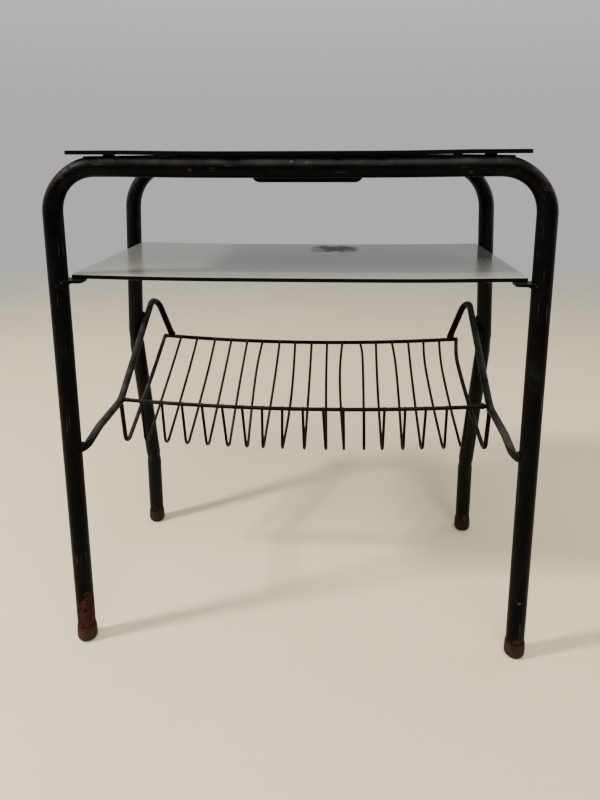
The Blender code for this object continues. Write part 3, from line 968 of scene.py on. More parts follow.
@dataclass
class Frames:
    """The two bent tubes with the caps on their feet."""

    layout: Layout
    # Bends at the top corners
    corner_r: float = 0.046
    rear_corner_r: float = 0.062
    # Line of the rear legs against the front ones: the top, the knee, the ankle and the bends at both
    rear_top_inset: float = 0.0052
    knee_out: float = 0.0037
    knee_z: float = 0.287
    ankle_inset: float = 0.0125
    ankle_z: float = 0.105
    joggle_r: float = 0.150
    # The caps: rounding at the floor, height of the widest place as a share, lip, steps and sides
    foot_edge: float = 0.0055
    foot_bulge: float = 0.42
    foot_lip: float = 0.0003
    foot_steps: int = 8
    foot_sides: int = 64
    # Flattening of the tube in its bends
    flatten: float = 0.10
    # How far the top runs hang down in the middle, and the half of the run that hangs
    front_sag: float = 0.0011
    rear_sag: float = 0.0007
    sag_half: float = 0.180
    # Depth and height of the waist that rust has eaten into the tube just above the caps
    waist: float = 0.0006
    waist_h: float = 0.007

    def rear_half(self, z: float) -> float:
        """Gives the distance of a rear leg's axis from the middle plane.

        Args:
            z: The height that it is asked for.

        Returns:
            The distance.
        """
        top = self.layout.front_half - self.rear_top_inset
        knee = self.layout.front_half + self.knee_out
        ankle = self.layout.front_half - self.ankle_inset
        if z >= self.knee_z:
            return knee + (top - knee) * (z - self.knee_z) / (self.layout.top_axis - self.knee_z)
        return ankle + (knee - ankle) * max(0.0, (z - self.ankle_z) / (self.knee_z - self.ankle_z))

    def leg(self, end: str, side: Side, z: float) -> Vector:
        """Gives the point on a leg's axis at a height.

        Args:
            end: The front or the rear.
            side: The leg's side.
            z: The height.

        Returns:
            The point.
        """
        if end == "front":
            return Vector((side.value * self.layout.front_half, self.layout.front_y, z))
        return Vector((side.value * self.rear_half(z), self.layout.rear_y, z))

    def build(self) -> None:
        """Builds the tubes and the caps."""
        at = self.layout
        front = [Vector((at.front_half, at.front_y, z)) for z in (at.leg_foot, at.top_axis)]
        heights = (at.leg_foot, self.ankle_z, self.knee_z, at.top_axis)
        rear = [Vector((self.rear_half(z), at.rear_y, z)) for z in heights]
        # The bare places: on the left bend, the right bend and the top run, and above the left cap
        bare = (
            RustSpot((-at.front_half + 0.009, at.front_y - 0.008, at.top_axis - 0.009), 0.028, 0.8),
            RustSpot((at.front_half - 0.006, at.front_y - 0.009, at.top_axis - 0.022), 0.013, 0.95),
            RustSpot((0.0, at.front_y, at.frame_top), 0.020),
            RustSpot((-at.front_half + 0.007, at.front_y - at.tube_r, 0.050), 0.024, 0.95),
        )
        front_paint = BlackEnamel("front_tube_enamel", spots=bare, rusty_left=0.043, rusty_right=0.022)
        # The rear tube's enamel is made glossier than the front's so that the rear legs show a brighter
        # reflection: a painted reflection, standing in for light from a pale wall that the scene does not
        # have
        rear_paint = BlackEnamel("rear_tube_enamel", specular=0.09, rusty_left=0.022, rusty_right=0.024)
        self._tube("front_frame", front, [self.corner_r], self.front_sag, front_paint)
        rear_radii = [self.joggle_r, self.joggle_r, self.rear_corner_r]
        self._tube("rear_frame", rear, rear_radii, self.rear_sag, rear_paint)
        red_cap = RustySteel("red_rusty_cap", red_share=0.6).material()
        brown_cap = RustySteel("brown_rusty_cap", red="#321f15", red_share=0.4).material()
        for end in ENDS:
            for side in Side:
                finish = red_cap if (end, side) == ("front", Side.LEFT) else brown_cap
                self._cap(f"foot_{end}_{side.word}", finish)

    def _tube(
        self, node: str, half: list[Vector], radii: list[float], sag: float, paint: BlackEnamel
    ) -> None:
        """Bends one tube from its right half and the mirror image of that.

        Args:
            node: The tube's node.
            half: The corners of the right half, from the foot up.
            radii: The bending radii at its inner corners and at the top.
            sag: How far the top run hangs down in the middle.
            paint: The finish.
        """
        mirrored = [Vector((-p.x, p.y, p.z)) for p in half]
        bar = RoundBar(self.layout.tube_r, sides=48, arc_step=math.radians(3), flatten=self.flatten)
        mesh = bar.bend(mirrored + half[::-1], radii + radii[::-1])
        cap_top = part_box("foot_front_left")[1].z
        for vert in mesh.verts:
            self._eat(vert, cap_top)
            vert.co.z -= sag * hang(vert.co.x, self.sag_half)
        add_piece(f"{node}_tube", mesh, paint.material(), (node,))

    def _eat(self, vert: Vert, cap_top: float) -> None:
        """Thins the tube just above the caps.

        Args:
            vert: A point of the tube.
            cap_top: Height of the caps.
        """
        share = (vert.co.z - cap_top) / self.waist_h
        if not -1.0 < share < 1.0:
            return
        side = Side.RIGHT if vert.co.x > 0 else Side.LEFT
        end = "front" if vert.co.y < (self.layout.front_y + self.layout.rear_y) / 2 else "rear"
        axis = self.leg(end, side, vert.co.z)
        out = (vert.co - axis).normalized()
        vert.co -= out * self.waist * math.cos(math.pi / 2 * share) ** 2

    def _cap(self, node: str, material: Material) -> None:
        """Turns one foot cap: a cup with a rounded foot, beaten in round the tube at the top.

        Args:
            node: The cap's node.
            material: Its finish.
        """
        low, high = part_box(node)
        centre = (low + high) / 2
        outer = (high.x - low.x) / 2
        inner = self.layout.tube_r + self.layout.clear
        mesh = bmesh.new()
        profile = [(0.0, 0.0)]
        for degrees in range(0, 91, 15):
            angle = math.radians(degrees)
            profile.append(
                (outer - self.foot_edge * (1 - math.sin(angle)), self.foot_edge * (1 - math.cos(angle)))
            )
        widest = self.foot_bulge * high.z
        for step in range(1, self.foot_steps + 1):
            share = step / self.foot_steps
            reach = self.foot_lip + (outer - inner - self.foot_lip) * math.cos(math.pi / 2 * share)
            profile.append((inner + reach, widest + (high.z - widest) * share))
        profile.append((inner, high.z))
        profile.append((inner, high.z / 2))
        verts = [mesh.verts.new((centre.x + r, centre.y, z)) for r, z in profile]
        edges = [mesh.edges.new(pair) for pair in zip(verts, verts[1:])]
        bmesh.ops.spin(
            mesh,
            geom=verts + edges,
            cent=(centre.x, centre.y, 0.0),
            axis=(0.0, 0.0, 1.0),
            angle=math.tau,
            steps=self.foot_sides,
            use_merge=True,
        )
        bmesh.ops.remove_doubles(mesh, verts=mesh.verts, dist=SAME)
        add_piece(f"{node}_cap", mesh, material, (node,))


@dataclass
class Panes:
    """The top and the shelf of black glass, with the bars, pads and tabs that carry them."""

    layout: Layout
    frames: Frames
    # Rounding of the panes' corners and of their edges
    glass_corner: float = 0.004
    glass_arris: float = 0.0003
    # Sag of the panes, which is none over the pads and the tabs, and the number of strips that they bend in
    top_sag: float = 0.0012
    shelf_sag: float = 0.0019
    sag_steps: int = 24
    # Roundings of the bars, pads and tabs, and what is left of the gap above and below a pad
    bar_corner: float = 0.004
    bar_edge: float = 0.0005
    pad_edge: float = 0.0003
    pad_gap: float = 0.00005
    tab_corner: float = 0.003
    tab_edge: float = 0.0005
    # Crease angle in degrees: below the steps of the small edges, above those of the rounded corners
    crease: float = 16.0

    def build(self) -> None:
        """Builds the panes and what carries them."""
        low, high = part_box("shelf_glass")
        top = BlackGlass("top_glass_dusty", dust_least=0.02, dust_most=0.07)
        edge = GroundEdge("glass_edge_ground").material()
        self._pane("top_glass", top, edge, self.top_sag, self.frames.sag_half)
        self._pane("shelf_glass", self._shelf_finish(low, high), edge, self.shelf_sag, high.x)
        plate_paint = BlackEnamel("plate_enamel", follows_bar=False, dust_cover=0.05).material()
        rubber = BlackRubber("pad_rubber_aged").material()
        for side in Side:
            self._bar(f"side_bar_{side.word}", plate_paint)
            for end in ENDS:
                self._pad(f"top_pad_{end}_{side.word}", rubber)
                node = f"shelf_tab_{end}_{side.word}"
                self._tab(node, side, self.frames.leg(end, side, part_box(node)[0].z), plate_paint)

    @staticmethod
    def _shelf_finish(low: Vector, high: Vector) -> BlackGlass:
        """Gives the shelf's finish: dusty, wiped at the right end and greasy near the rear.

        Args:
            low: The shelf's lowest corner.
            high: Its highest corner.

        Returns:
            The finish.
        """
        return BlackGlass(
            "shelf_glass_dusty",
            dust_least=0.18,
            dust_most=0.28,
            haze=0.35,
            specular=0.2,
            roughness=0.02,
            blur=0.6,
            # More dust towards the front right corner: painted light on the front of the shelf
            front_painted_light=0.16,
            front_strip=low.y + 0.012,
            wiped=(
                Oval(high.x - 0.008, high.y - 0.06, 0.075, 0.18),
                Oval(high.x - 0.105, high.y - 0.075, 0.02, 0.007),
            ),
            greasy=(Oval(0.038, high.y - 0.043, 0.056, 0.056),),
        )

    def _pane(self, node: str, glass: BlackGlass, edge: Material, sag: float, half: float) -> None:
        """Makes one pane with rounded corners and a polished arris.

        Args:
            node: The pane's node.
            glass: The finish of its faces.
            edge: The finish of its edge.
            sag: How far it hangs down in the middle.
            half: The half of its length that hangs.
        """
        mesh = plain_block(*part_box(node))
        round_edges(mesh, upright_edges(mesh), self.glass_corner, segments=8)
        round_edges(mesh, flat_edges(mesh), self.glass_arris, segments=2)
        for step in range(1, self.sag_steps):
            bmesh.ops.bisect_plane(
                mesh,
                geom=mesh.verts[:] + mesh.edges[:] + mesh.faces[:],
                plane_co=(half * (2 * step / self.sag_steps - 1), 0.0, 0.0),
                plane_no=(1.0, 0.0, 0.0),
            )
        for vert in mesh.verts:
            vert.co.z -= sag * hang(vert.co.x, half)
        pane = add_piece(f"{node}_pane", mesh, glass.material(), (node,), self.crease)
        pane.data.materials.append(edge)
        for face in pane.data.polygons:
            face.material_index = int(abs(face.normal.z) < FLAT)

    def _bar(self, node: str, paint: Material) -> None:
        """Makes one flat bar with rounded outer corners.

        Args:
            node: The bar's node.
            paint: Its finish.
        """
        low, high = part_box(node)
        mesh = plain_block(low, high)
        middle = (low.x + high.x) / 2
        outer = [e for e in upright_edges(mesh) if abs(e.verts[0].co.x) > abs(middle)]
        round_edges(mesh, outer, self.bar_corner, segments=6)
        round_edges(mesh, flat_edges(mesh), self.bar_edge, segments=2)
        add_piece(f"{node}_flat", mesh, paint, (node,), self.crease)

    def _pad(self, node: str, rubber: Material) -> None:
        """Makes one round pad with soft edges, pressed between its bar and the pane.

        Args:
            node: The pad's node.
            rubber: Its finish.
        """
        low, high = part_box(node)
        mesh = bmesh.new()
        radius = (high.x - low.x) / 2
        bmesh.ops.create_cone(
            mesh,
            cap_ends=True,
            segments=40,
            radius1=radius,
            radius2=radius,
            depth=high.z - low.z + 2 * (self.layout.clear - self.pad_gap),
            matrix=Matrix.Translation((low + high) / 2),
        )
        round_edges(mesh, flat_edges(mesh), self.pad_edge, segments=3)
        add_piece(f"{node}_puck", mesh, rubber, (node,))

    def _tab(self, node: str, side: Side, leg: Vector, paint: Material) -> None:
        """Makes one tab: a tongue whose root is cut to the curve of the leg.

        Args:
            node: The tab's node.
            side: The side that it is on.
            leg: A point on the axis of its leg.
            paint: Its finish.
        """
        low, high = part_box(node)
        half = (high.y - low.y) / 2
        cope = self.layout.tube_r + self.layout.clear
        spread = math.asin(half / cope)
        first = math.pi - spread if side is Side.RIGHT else -spread
        mesh = bmesh.new()
        start = mesh.verts.new((leg.x + cope * math.cos(first), leg.y + cope * math.sin(first), low.z))
        spun = bmesh.ops.spin(
            mesh,
            geom=[start],
            cent=(leg.x, leg.y, low.z),
            axis=(0.0, 0.0, 1.0),
            angle=2 * spread,
            steps=16,
        )
        last = next(item for item in spun["geom_last"] if isinstance(item, Vert))
        tip = min(low.x, high.x, key=abs)
        near = mesh.verts.new((tip, last.co.y, low.z))
        far = mesh.verts.new((tip, start.co.y, low.z))
        for pair in ((last, near), (near, far), (far, start)):
            mesh.edges.new(pair)
        sole = bmesh.ops.edgeloop_fill(mesh, edges=mesh.edges)["faces"]
        lifted = bmesh.ops.extrude_face_region(mesh, geom=sole)["geom"]
        top = [item for item in lifted if isinstance(item, Vert)]
        bmesh.ops.translate(mesh, verts=top, vec=(0.0, 0.0, high.z - low.z))
        nose = [e for e in upright_edges(mesh) if abs(e.verts[0].co.x - tip) < SAME]
        round_edges(mesh, nose, self.tab_corner, segments=5)
        bmesh.ops.recalc_face_normals(mesh, faces=mesh.faces)
        rim = [e for e in flat_edges(mesh) if (e.verts[0].co.xy - leg.xy).length > cope + SAME]
        round_edges(mesh, rim, self.tab_edge, segments=2)
        add_piece(f"{node}_tongue", mesh, paint, (node,), self.crease)


@dataclass(frozen=True)
class WireBend:
    """How far years of use have pushed a wire sideways: at the trough, the rear rail and between them."""

    trough: float = 0.0
    rear: float = 0.0
    bow: float = 0.0
    # Share of the way from the trough to the rear rail at which the bow is widest
    bow_at: float = 0.6

    def push(self, mesh: Mesh, turn_at: float, length: float) -> None:
        """Pushes the wire's mesh sideways.

        Args:
            mesh: The wire, with the place along it in its bar attribute.
            turn_at: Length of its front run.
            length: Its whole length.
        """
        layer = mesh.verts.layers.float_vector[BAR]
        for vert in mesh.verts:
            along = vert[layer].x
            if along < turn_at:
                vert.co.x += self.trough * along / turn_at
                continue
            share = (along - turn_at) / (length - turn_at)
            rise = share / self.bow_at if share < self.bow_at else (1 - share) / (1 - self.bow_at)
            bowed = self.bow * math.sin(math.pi / 2 * rise)
            vert.co.x += self.trough * (1 - share) + self.rear * share + bowed


# The thin wires from left to right, as they look from the front
HAND_BENDS = (
    WireBend(0.0000, 0.0004, 0.0005),
    WireBend(0.0008, 0.0008, 0.0010),
    WireBend(0.0024, 0.0036, 0.0014, 0.65),
    WireBend(0.0038, 0.0041, 0.0004),
    WireBend(0.0052, 0.0043, -0.0006),
    WireBend(0.0040, 0.0031, -0.0030, 0.66),
    WireBend(-0.0008, 0.0045, 0.0010),
    WireBend(-0.0012, 0.0037, 0.0034, 0.42),
    WireBend(0.0018, 0.0042, 0.0004),
    WireBend(0.0042, 0.0031, -0.0008),
    WireBend(0.0016, 0.0017, -0.0042, 0.62),
    WireBend(0.0018, 0.0036, 0.0030, 0.85),
    WireBend(-0.0007, 0.0031, -0.0010, 0.5),
    WireBend(0.0000, 0.0024, 0.0024, 0.72),
    WireBend(-0.0016, 0.0022, -0.0008),
    WireBend(0.0005, 0.0005, -0.0038, 0.7),
    WireBend(-0.0022, -0.0008, -0.0040, 0.66),
)


@dataclass
class MagazineRack:
    """The slanted rack: two side rods, two rails, a thick wire at each end and thin wires between them."""

    layout: Layout
    frames: Frames
    # The side rods: their radius, and how far in front of the front legs' axis they start
    rod_r: float = 0.0045
    rod_lead: float = 0.004
    # The slant that a rod's front end is ground to: its angle in degrees, and where it starts on the radius
    rod_slant: float = 22.0
    rod_cut: float = 0.7
    # Their line: a ramp behind the front leg, a run that is nearly level, and the bend where they climb
    rod_start_z: float = 0.2345
    rod_ramp: float = 0.043
    rod_run_z: float = 0.241
    rod_bend: float = 0.121
    rod_bend_z: float = 0.2415
    rod_bend_r: float = 0.045
    # The hook: its place behind the rear legs, its height and bend, and how far its end comes in
    hook_back: float = 0.050
    hook_z: float = 0.342
    hook_r: float = 0.016
    hook_in: float = 0.0226
    # The rails: radii, the rear one's height and reach past the rods' ends, and how deep both hang
    front_rail_r: float = 0.0025
    rear_rail_r: float = 0.00275
    rear_rail_z: float = 0.2758
    rear_rail_past: float = 0.011
    sag_depth: float = 0.008
    # The wires: radii, how far beside the rear rail they end, and their bend at the bottom
    end_wire_r: float = 0.00275
    wire_r: float = 0.0018
    wire_rest: float = 0.62
    trough_back: float = 0.010
    trough_z: float = 0.1762
    trough_r: float = 0.010
    # Rounding of the ends of the rods, of the rails and end wires, and of the thin wires
    rod_edge: float = 0.0006
    rail_edge: float = 0.0005
    wire_edge: float = 0.0003
    # How far the end wires are out of true
    left_kink: WireBend = WireBend(bow=0.001)
    right_kink: WireBend = WireBend(bow=-0.0065, bow_at=0.74)

    def __post_init__(self) -> None:
        """Works out the places that the pieces share."""
        at = self.layout
        self.bend_y = at.front_y + self.rod_bend
        self.hook_y = at.rear_y + self.hook_back
        run = math.atan2(self.rod_bend_z - self.rod_run_z, self.rod_bend - self.rod_ramp)
        climb = math.atan2(self.hook_z - self.rod_bend_z, self.hook_y - self.bend_y)
        tilt = (run + climb) / 2
        # Ways along the climbing part of a side rod, and straight down from its bend
        self.uphill = Vector((0.0, math.cos(climb), math.sin(climb)))
        self.below = Vector((0.0, math.sin(tilt), -math.cos(tilt)))
        self.cross_z = self.rod_bend_z + math.tan(climb) * (at.rear_y - self.bend_y)
        beside = at.tube_r + at.clear + self.rod_r
        self.rod_front_x = at.front_half - beside
        self.rod_rear_x = self.frames.rear_half(self.cross_z) - beside
        self.hook_x = self.rod_x(self.hook_y)
        self.rod_end_x = self.hook_x - self.hook_in
        lift = self.rod_bend_r / math.cos((climb - run) / 2) - self.rod_bend_r
        self.rail_y = self.bend_y - lift * math.sin(tilt)
        self.rail_z = self.rod_bend_z + lift * math.cos(tilt)
        self.front_half = self.rod_x(self.rail_y) - self.rod_r - at.clear
        self.rear_half = self.rod_end_x + self.rear_rail_past
        rail_top = self.rear_rail_z - self.sag(self.rod_end_x, self.rear_half) + self.rear_rail_r
        slant = math.atan2(self.hook_in, self.hook_z - rail_top)
        self.rod_end_z = rail_top + at.clear + self.rod_r * math.sin(slant)

    def rod_x(self, y: float) -> float:
        """Gives a side rod's distance from the middle plane: it runs straight from leg to leg."""
        share = (y - self.layout.front_y) / (self.layout.rear_y - self.layout.front_y)
        return self.rod_front_x + (self.rod_rear_x - self.rod_front_x) * share

    def sag(self, x: float, half: float) -> float:
        """Gives how far a rail, or the trough, hangs down at a place along it."""
        return self.sag_depth * max(0.0, 1 - (x / half) ** 2)

    def build(self) -> None:
        """Builds the rods, rails and wires."""
        rod_paint = BlackEnamel("rack_rod_enamel", dust_cover=0.2, scratch_width=0.0009).material()
        wire_paint = BlackEnamel(
            "rack_wire_enamel", dust_cover=0.16, scratch_width=0.0006, nick_spacing=0.014
        ).material()
        for side in Side:
            self._rod(side, rod_paint)
            self._end_wire(side, rod_paint)
        front_end = Vector((self.front_half, self.rail_y, self.rail_z))
        rear_end = Vector((self.rear_half, self.hook_y, self.rear_rail_z))
        self._rail("rack_front_rail", front_end, self.front_rail_r, rod_paint)
        self._rail("rack_rear_rail", rear_end, self.rear_rail_r, rod_paint)
        for number, bend in enumerate(HAND_BENDS, start=1):
            self._wire(number, bend, wire_paint)

    def _rod(self, side: Side, paint: Material) -> None:
        """Bends one side rod with its hook.

        Args:
            side: The rod's side.
            paint: Its finish.
        """
        at = self.layout
        start_y = at.front_y - self.rod_lead
        ramp_y = at.front_y + self.rod_ramp
        line = [
            (self.rod_x(start_y), start_y, self.rod_start_z),
            (self.rod_x(ramp_y), ramp_y, self.rod_run_z),
            (self.rod_x(self.bend_y), self.bend_y, self.rod_bend_z),
            (self.hook_x, self.hook_y, self.hook_z),
            (self.rod_end_x, self.hook_y, self.rod_end_z),
        ]
        corners = [Vector((side.value * x, y, z)) for x, y, z in line]
        bar = RoundBar(self.rod_r, sides=32, end_edge=self.rod_edge)
        mesh = bar.bend(corners, [self.rod_bend_r, self.rod_bend_r, self.hook_r])
        self._grind(mesh, corners[0], side)
        node = f"rack_rod_{side.word}"
        add_piece(f"{node}_bar", mesh, paint, (node,))

    def _grind(self, mesh: Mesh, tip: Vector, side: Side) -> None:
        """Grinds the front end of a rod to a slant that leans on the leg.

        Args:
            mesh: The rod.
            tip: The middle of its front end.
            side: The side that it is on.
        """
        slant = math.radians(self.rod_slant)
        cut = bmesh.ops.bisect_plane(
            mesh,
            geom=mesh.verts[:] + mesh.edges[:] + mesh.faces[:],
            plane_co=tip + Vector((side.value * self.rod_r * self.rod_cut, 0.0, 0.0)),
            plane_no=(-side.value * math.cos(slant), -math.sin(slant), 0.0),
            clear_outer=True,
        )
        rim = [item for item in cut["geom_cut"] if isinstance(item, Edge)]
        bmesh.ops.edgeloop_fill(mesh, edges=rim)

    def _rail(self, node: str, end: Vector, radius: float, paint: Material) -> None:
        """Draws one rail straight and lets it hang.

        Args:
            node: The rail's node.
            end: The place of its right end.
            radius: Its radius.
            paint: Its finish.
        """
        bar = RoundBar(radius, sides=24, run_step=0.008, end_edge=self.rail_edge)
        mesh = bar.bend([Vector((-end.x, end.y, end.z)), end], [])
        for vert in mesh.verts:
            vert.co.z -= self.sag(vert.co.x, end.x)
        add_piece(f"{node}_bar", mesh, paint, (node,))

    def wire_points(self, share: float) -> tuple[Vector, Vector, Vector]:
        """Gives the places where a wire meets the front rail, turns at the bottom and meets the rear rail.

        Args:
            share: Its place in the row, from -1 at the left end wire to 1 at the right one.

        Returns:
            The three places.
        """
        front_x = share * self.rod_x(self.rail_y)
        rear_x = share * (self.rear_half - self.end_wire_r)
        front_sag = self.sag(front_x, self.front_half)
        front = Vector((front_x, self.rail_y, self.rail_z - front_sag))
        rear = Vector((rear_x, self.hook_y, self.rear_rail_z - self.sag(rear_x, self.rear_half)))
        low = front.lerp(rear, self.trough_back / (self.hook_y - self.rail_y))
        low.z = self.trough_z - front_sag
        return front, low, rear

    def thin_wire_points(self, number: int) -> tuple[Vector, Vector, Vector]:
        """Gives the places of a thin wire, counted from 1 at the left."""
        return self.wire_points(2 * number / (len(HAND_BENDS) + 1) - 1)

    def beside_rail(
        self, low: Vector, rail: Vector, rail_r: float, wire_r: float, inward: int, rest: float
    ) -> Vector:
        """Gives the end of a wire that comes up from the trough to the inner side of a rail.

        Args:
            low: Where the wire turns at the bottom.
            rail: The place on the rail's axis.
            rail_r: The rail's radius.
            wire_r: The wire's radius.
            inward: The sign of Y towards the trough.
            rest: 1 lays the wire along the rail, less stops it on the rail's shoulder.

        Returns:
            The wire's end.
        """
        way = (rail - low).normalized()
        aside = Vector((0.0, way.z, -way.y)).normalized() * inward
        reach = rail_r + self.layout.clear
        offset = (reach + wire_r) * rest
        short = math.sqrt(max(0.0, reach**2 - (offset - wire_r) ** 2))
        return rail + aside * offset - way * short

    def _end_wire(self, side: Side, paint: Material) -> None:
        """Bends the thick wire at one end.

        Args:
            side: The wire's side.
            paint: Its finish.
        """
        front, low, rear = self.wire_points(side.value)
        lean = (low - front).normalized().cross(self.below).length
        start = front + self.below * (self.rod_r + self.layout.clear + lean * self.end_wire_r)
        end = self.beside_rail(low, rear, self.rear_rail_r, self.end_wire_r, -1, self.wire_rest)
        bar = RoundBar(self.end_wire_r, sides=24, run_step=0.006, end_edge=self.rail_edge)
        mesh = bar.bend([start, low, end], [self.trough_r])
        kink = self.right_kink if side is Side.RIGHT else self.left_kink
        kink.push(mesh, (low - start).length, bar.along)
        node = f"rack_end_wire_{side.word}"
        add_piece(f"{node}_bar", mesh, paint, (node,))

    def _wire(self, number: int, bend: WireBend, paint: Material) -> None:
        """Bends one thin wire, a little out of true as wires are after years of use.

        Args:
            number: Its place in the row, from 1 at the left.
            bend: How far it is out of true.
            paint: Its finish.
        """
        front, low, rear = self.thin_wire_points(number)
        start = self.beside_rail(low, front, self.front_rail_r, self.wire_r, 1, 1.0)
        end = self.beside_rail(low, rear, self.rear_rail_r, self.wire_r, -1, self.wire_rest)
        bar = RoundBar(self.wire_r, sides=16, run_step=0.006, end_edge=self.wire_edge)
        mesh = bar.bend([start, low, end], [self.trough_r])
        bend.push(mesh, (low - start).length, bar.along)
        node = f"rack_wire_{number:02d}"
        add_piece(f"{node}_bar", mesh, paint, (node,))


@dataclass
class GripRod:
    """The short rod with two bent ends under the rear tube."""

    layout: Layout
    bend_r: float = 0.008

    def build(self) -> None:
        """Bends the rod."""
        low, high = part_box("rear_grip_rod")
        radius = (high.y - low.y) / 2
        line = [
            (low.x + radius, high.z),
            (low.x + radius, low.z + radius),
            (high.x - radius, low.z + radius),
            (high.x - radius, high.z),
        ]
        corners = [Vector((x, self.layout.rear_y, z)) for x, z in line]
        mesh = RoundBar(radius, sides=28).bend(corners, [self.bend_r, self.bend_r])
        paint = BlackEnamel("grip_rod_enamel").material()
        add_piece("rear_grip_rod_bar", mesh, paint, ("rear_grip_rod",))


@dataclass
class Welds:
    """The lumpy beads that hold the pieces together, all brushed over with the same black."""

    layout: Layout
    frames: Frames
    rack: MagazineRack
    # How uneven a drop is, and how much the drops of a bead differ, as shares of the radius
    lump: float = 0.22
    swell: float = 0.25
    # How far a drop lies off its seam, and how far those at the rear legs and the front rail lie in it
    off_seam: float = 0.0006
    rear_leg_in: float = 0.0008
    front_rail_in: float = 0.0005
    # Radii of the drops, named for their places
    tab_drop: float = 0.0021
    tab_swell: float = 0.0005
    bar_drop: float = 0.0017
    grip_drop: float = 0.0015
    rear_leg_drop: float = 0.0021
    front_leg_drop: float = 0.0017
    front_rail_drop: float = 0.0034
    wire_top_drop: float = 0.0032
    rod_end_drop: float = 0.0024
    wire_end_drop: float = 0.0026
    wire_drop: float = 0.0017
    # Heights of the beads above and below a side rod at the rear and the front leg
    rear_lifts: tuple[float, float] = (0.0042, -0.0042)
    front_lifts: tuple[float, float] = (0.0016, -0.0040)
    # Half the length of the beads at a rear leg, under a side rod and at its end
    rear_leg_half: float = 0.0055
    wire_top_half: float = 0.002
    rod_end_half: float = 0.003
    # Where the beads at a front leg start and end, in Y from the leg's axis
    front_leg_span: tuple[float, float] = (-0.002, 0.007)
    # Way of the bead at a front rail's end: inwards, back and down
    front_rail_run: Triple = (0.0035, 0.001, 0.0004)
    # Places of the bead under a side rod and of the drop at the rear end of an end wire, from the axes
    wire_top_below: float = 0.0058
    wire_end_off: Triple = (0.0, -0.0028, -0.0016)
    # How far inside a flat bar's left and right ends its beads start and end
    bar_inset: tuple[float, float] = (0.004, 0.006)
    # Where a thin wire's weld spots lie on the side of a rail, as a share of its radius
    shoulder: float = 0.8
    mesh: Mesh = field(default_factory=bmesh.new)

    def _blob(self, centre: Vector, radius: float) -> None:
        """Adds one uneven drop of weld metal.

        Args:
            centre: Its middle.
            radius: Its radius before it is made uneven.
        """
        place = Matrix.Translation(centre)
        made = bmesh.ops.create_icosphere(self.mesh, subdivisions=3, radius=radius, matrix=place)
        for vert in made["verts"]:
            # A noise a little coarser than the drop, in three octaves
            rough = noise.fractal(vert.co / radius * 0.9, 0.6, 2.0, 3)
            vert.co += (vert.co - centre) * rough * self.lump

    def _bead(self, start: Vector, end: Vector, radius: float, count: int) -> None:
        """Adds a row of drops of uneven size.

        Args:
            start: The place of the first.
            end: The place of the last.
            radius: Their middle radius.
            count: Their number.
        """
        for number in range(count):
            share = number / max(1, count - 1)
            # A beat that differs from drop to drop and from bead to bead
            swell = 1 + self.swell * math.sin(7.3 * number + 31 * start.x + 17 * start.z)
            self._blob(start.lerp(end, share), radius * swell)

    def _close(self, name: str, paint: Material) -> None:
        """Makes a piece of the drops so far and starts afresh."""
        add_piece(name, self.mesh, paint)
        self.mesh = bmesh.new()

    def build(self) -> None:
        """Lays all the beads."""
        paint = BlackEnamel("weld_enamel", follows_bar=False, roughness=0.42).material()
        for end in ENDS:
            for side in Side:
                self._tab_bead(end, side)
        self._close("shelf_tab_welds", paint)
        for side in Side:
            self._bar_beads(side)
            self._grip_ring(side)
        self._close("top_welds", paint)
        for side in Side:
            self._leg_beads(side)
            self._rail_beads(side)
        self._wire_spots()
        self._close("rack_welds", paint)

    def _tab_bead(self, end: str, side: Side) -> None:
        """Lays the bead round the root of a shelf tab.

        Args:
            end: The front or the rear.
            side: The tab's side.
        """
        low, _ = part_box(f"shelf_tab_{end}_{side.word}")
        leg = self.frames.leg(end, side, low.z)
        reach = self.layout.tube_r + self.off_seam
        for degrees in range(-50, 51, 20):
            angle = math.radians(degrees)
            out = Vector((-side.value * math.cos(angle), math.sin(angle), 0.0))
            radius = self.tab_drop + self.tab_swell * math.cos(5 * angle)
            self._blob(leg + out * reach - Vector((0.0, 0.0, self.off_seam)), radius)

    def _bar_beads(self, side: Side) -> None:
        """Lays the beads under the ends of a flat bar.

        Args:
            side: The bar's side.
        """
        low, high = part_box(f"side_bar_{side.word}")
        for y in (low.y + self.off_seam, high.y - self.off_seam):
            start = Vector((low.x + self.bar_inset[0], y, low.z))
            end = Vector((high.x - self.bar_inset[1], y, low.z))
            self._bead(start, end, self.bar_drop, count=9)

    def _grip_ring(self, side: Side) -> None:
        """Adds the drops round one end of the short rod under the rear tube.

        Args:
            side: The end's side.
        """
        low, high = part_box("rear_grip_rod")
        radius = (high.y - low.y) / 2
        foot = Vector((side.value * (high.x - radius), self.layout.rear_y, high.z))
        for degrees in range(0, 360, 45):
            angle = math.radians(degrees)
            ring = Vector((math.cos(angle), math.sin(angle), 0.0)) * radius
            self._blob(foot + ring, self.grip_drop)

    def _leg_beads(self, side: Side) -> None:
        """Lays the beads between a side rod and its two legs.

        Args:
            side: The rod's side.
        """
        rack, at, sign = self.rack, self.layout, side.value
        climb = rack.uphill * self.rear_leg_half
        rear_x = self.frames.rear_half(rack.cross_z) - at.tube_r
        rear = Vector((sign * rear_x, at.rear_y, rack.cross_z))
        for lift in self.rear_lifts:
            seat = rear + Vector((sign * self.rear_leg_in, 0.0, lift))
            self._bead(seat - climb, seat + climb, self.rear_leg_drop, count=5)
        front_z = rack.rod_start_z + rack.rod_lead * (rack.rod_run_z - rack.rod_start_z) / rack.rod_ramp
        front = Vector((sign * (at.front_half - at.tube_r), at.front_y, front_z))
        for lift in self.front_lifts:
            seat = front + Vector((sign * self.off_seam, 0.0, lift))
            start, end = (seat + Vector((0.0, y, 0.0)) for y in self.front_leg_span)
            self._bead(start, end, self.front_leg_drop, count=5)

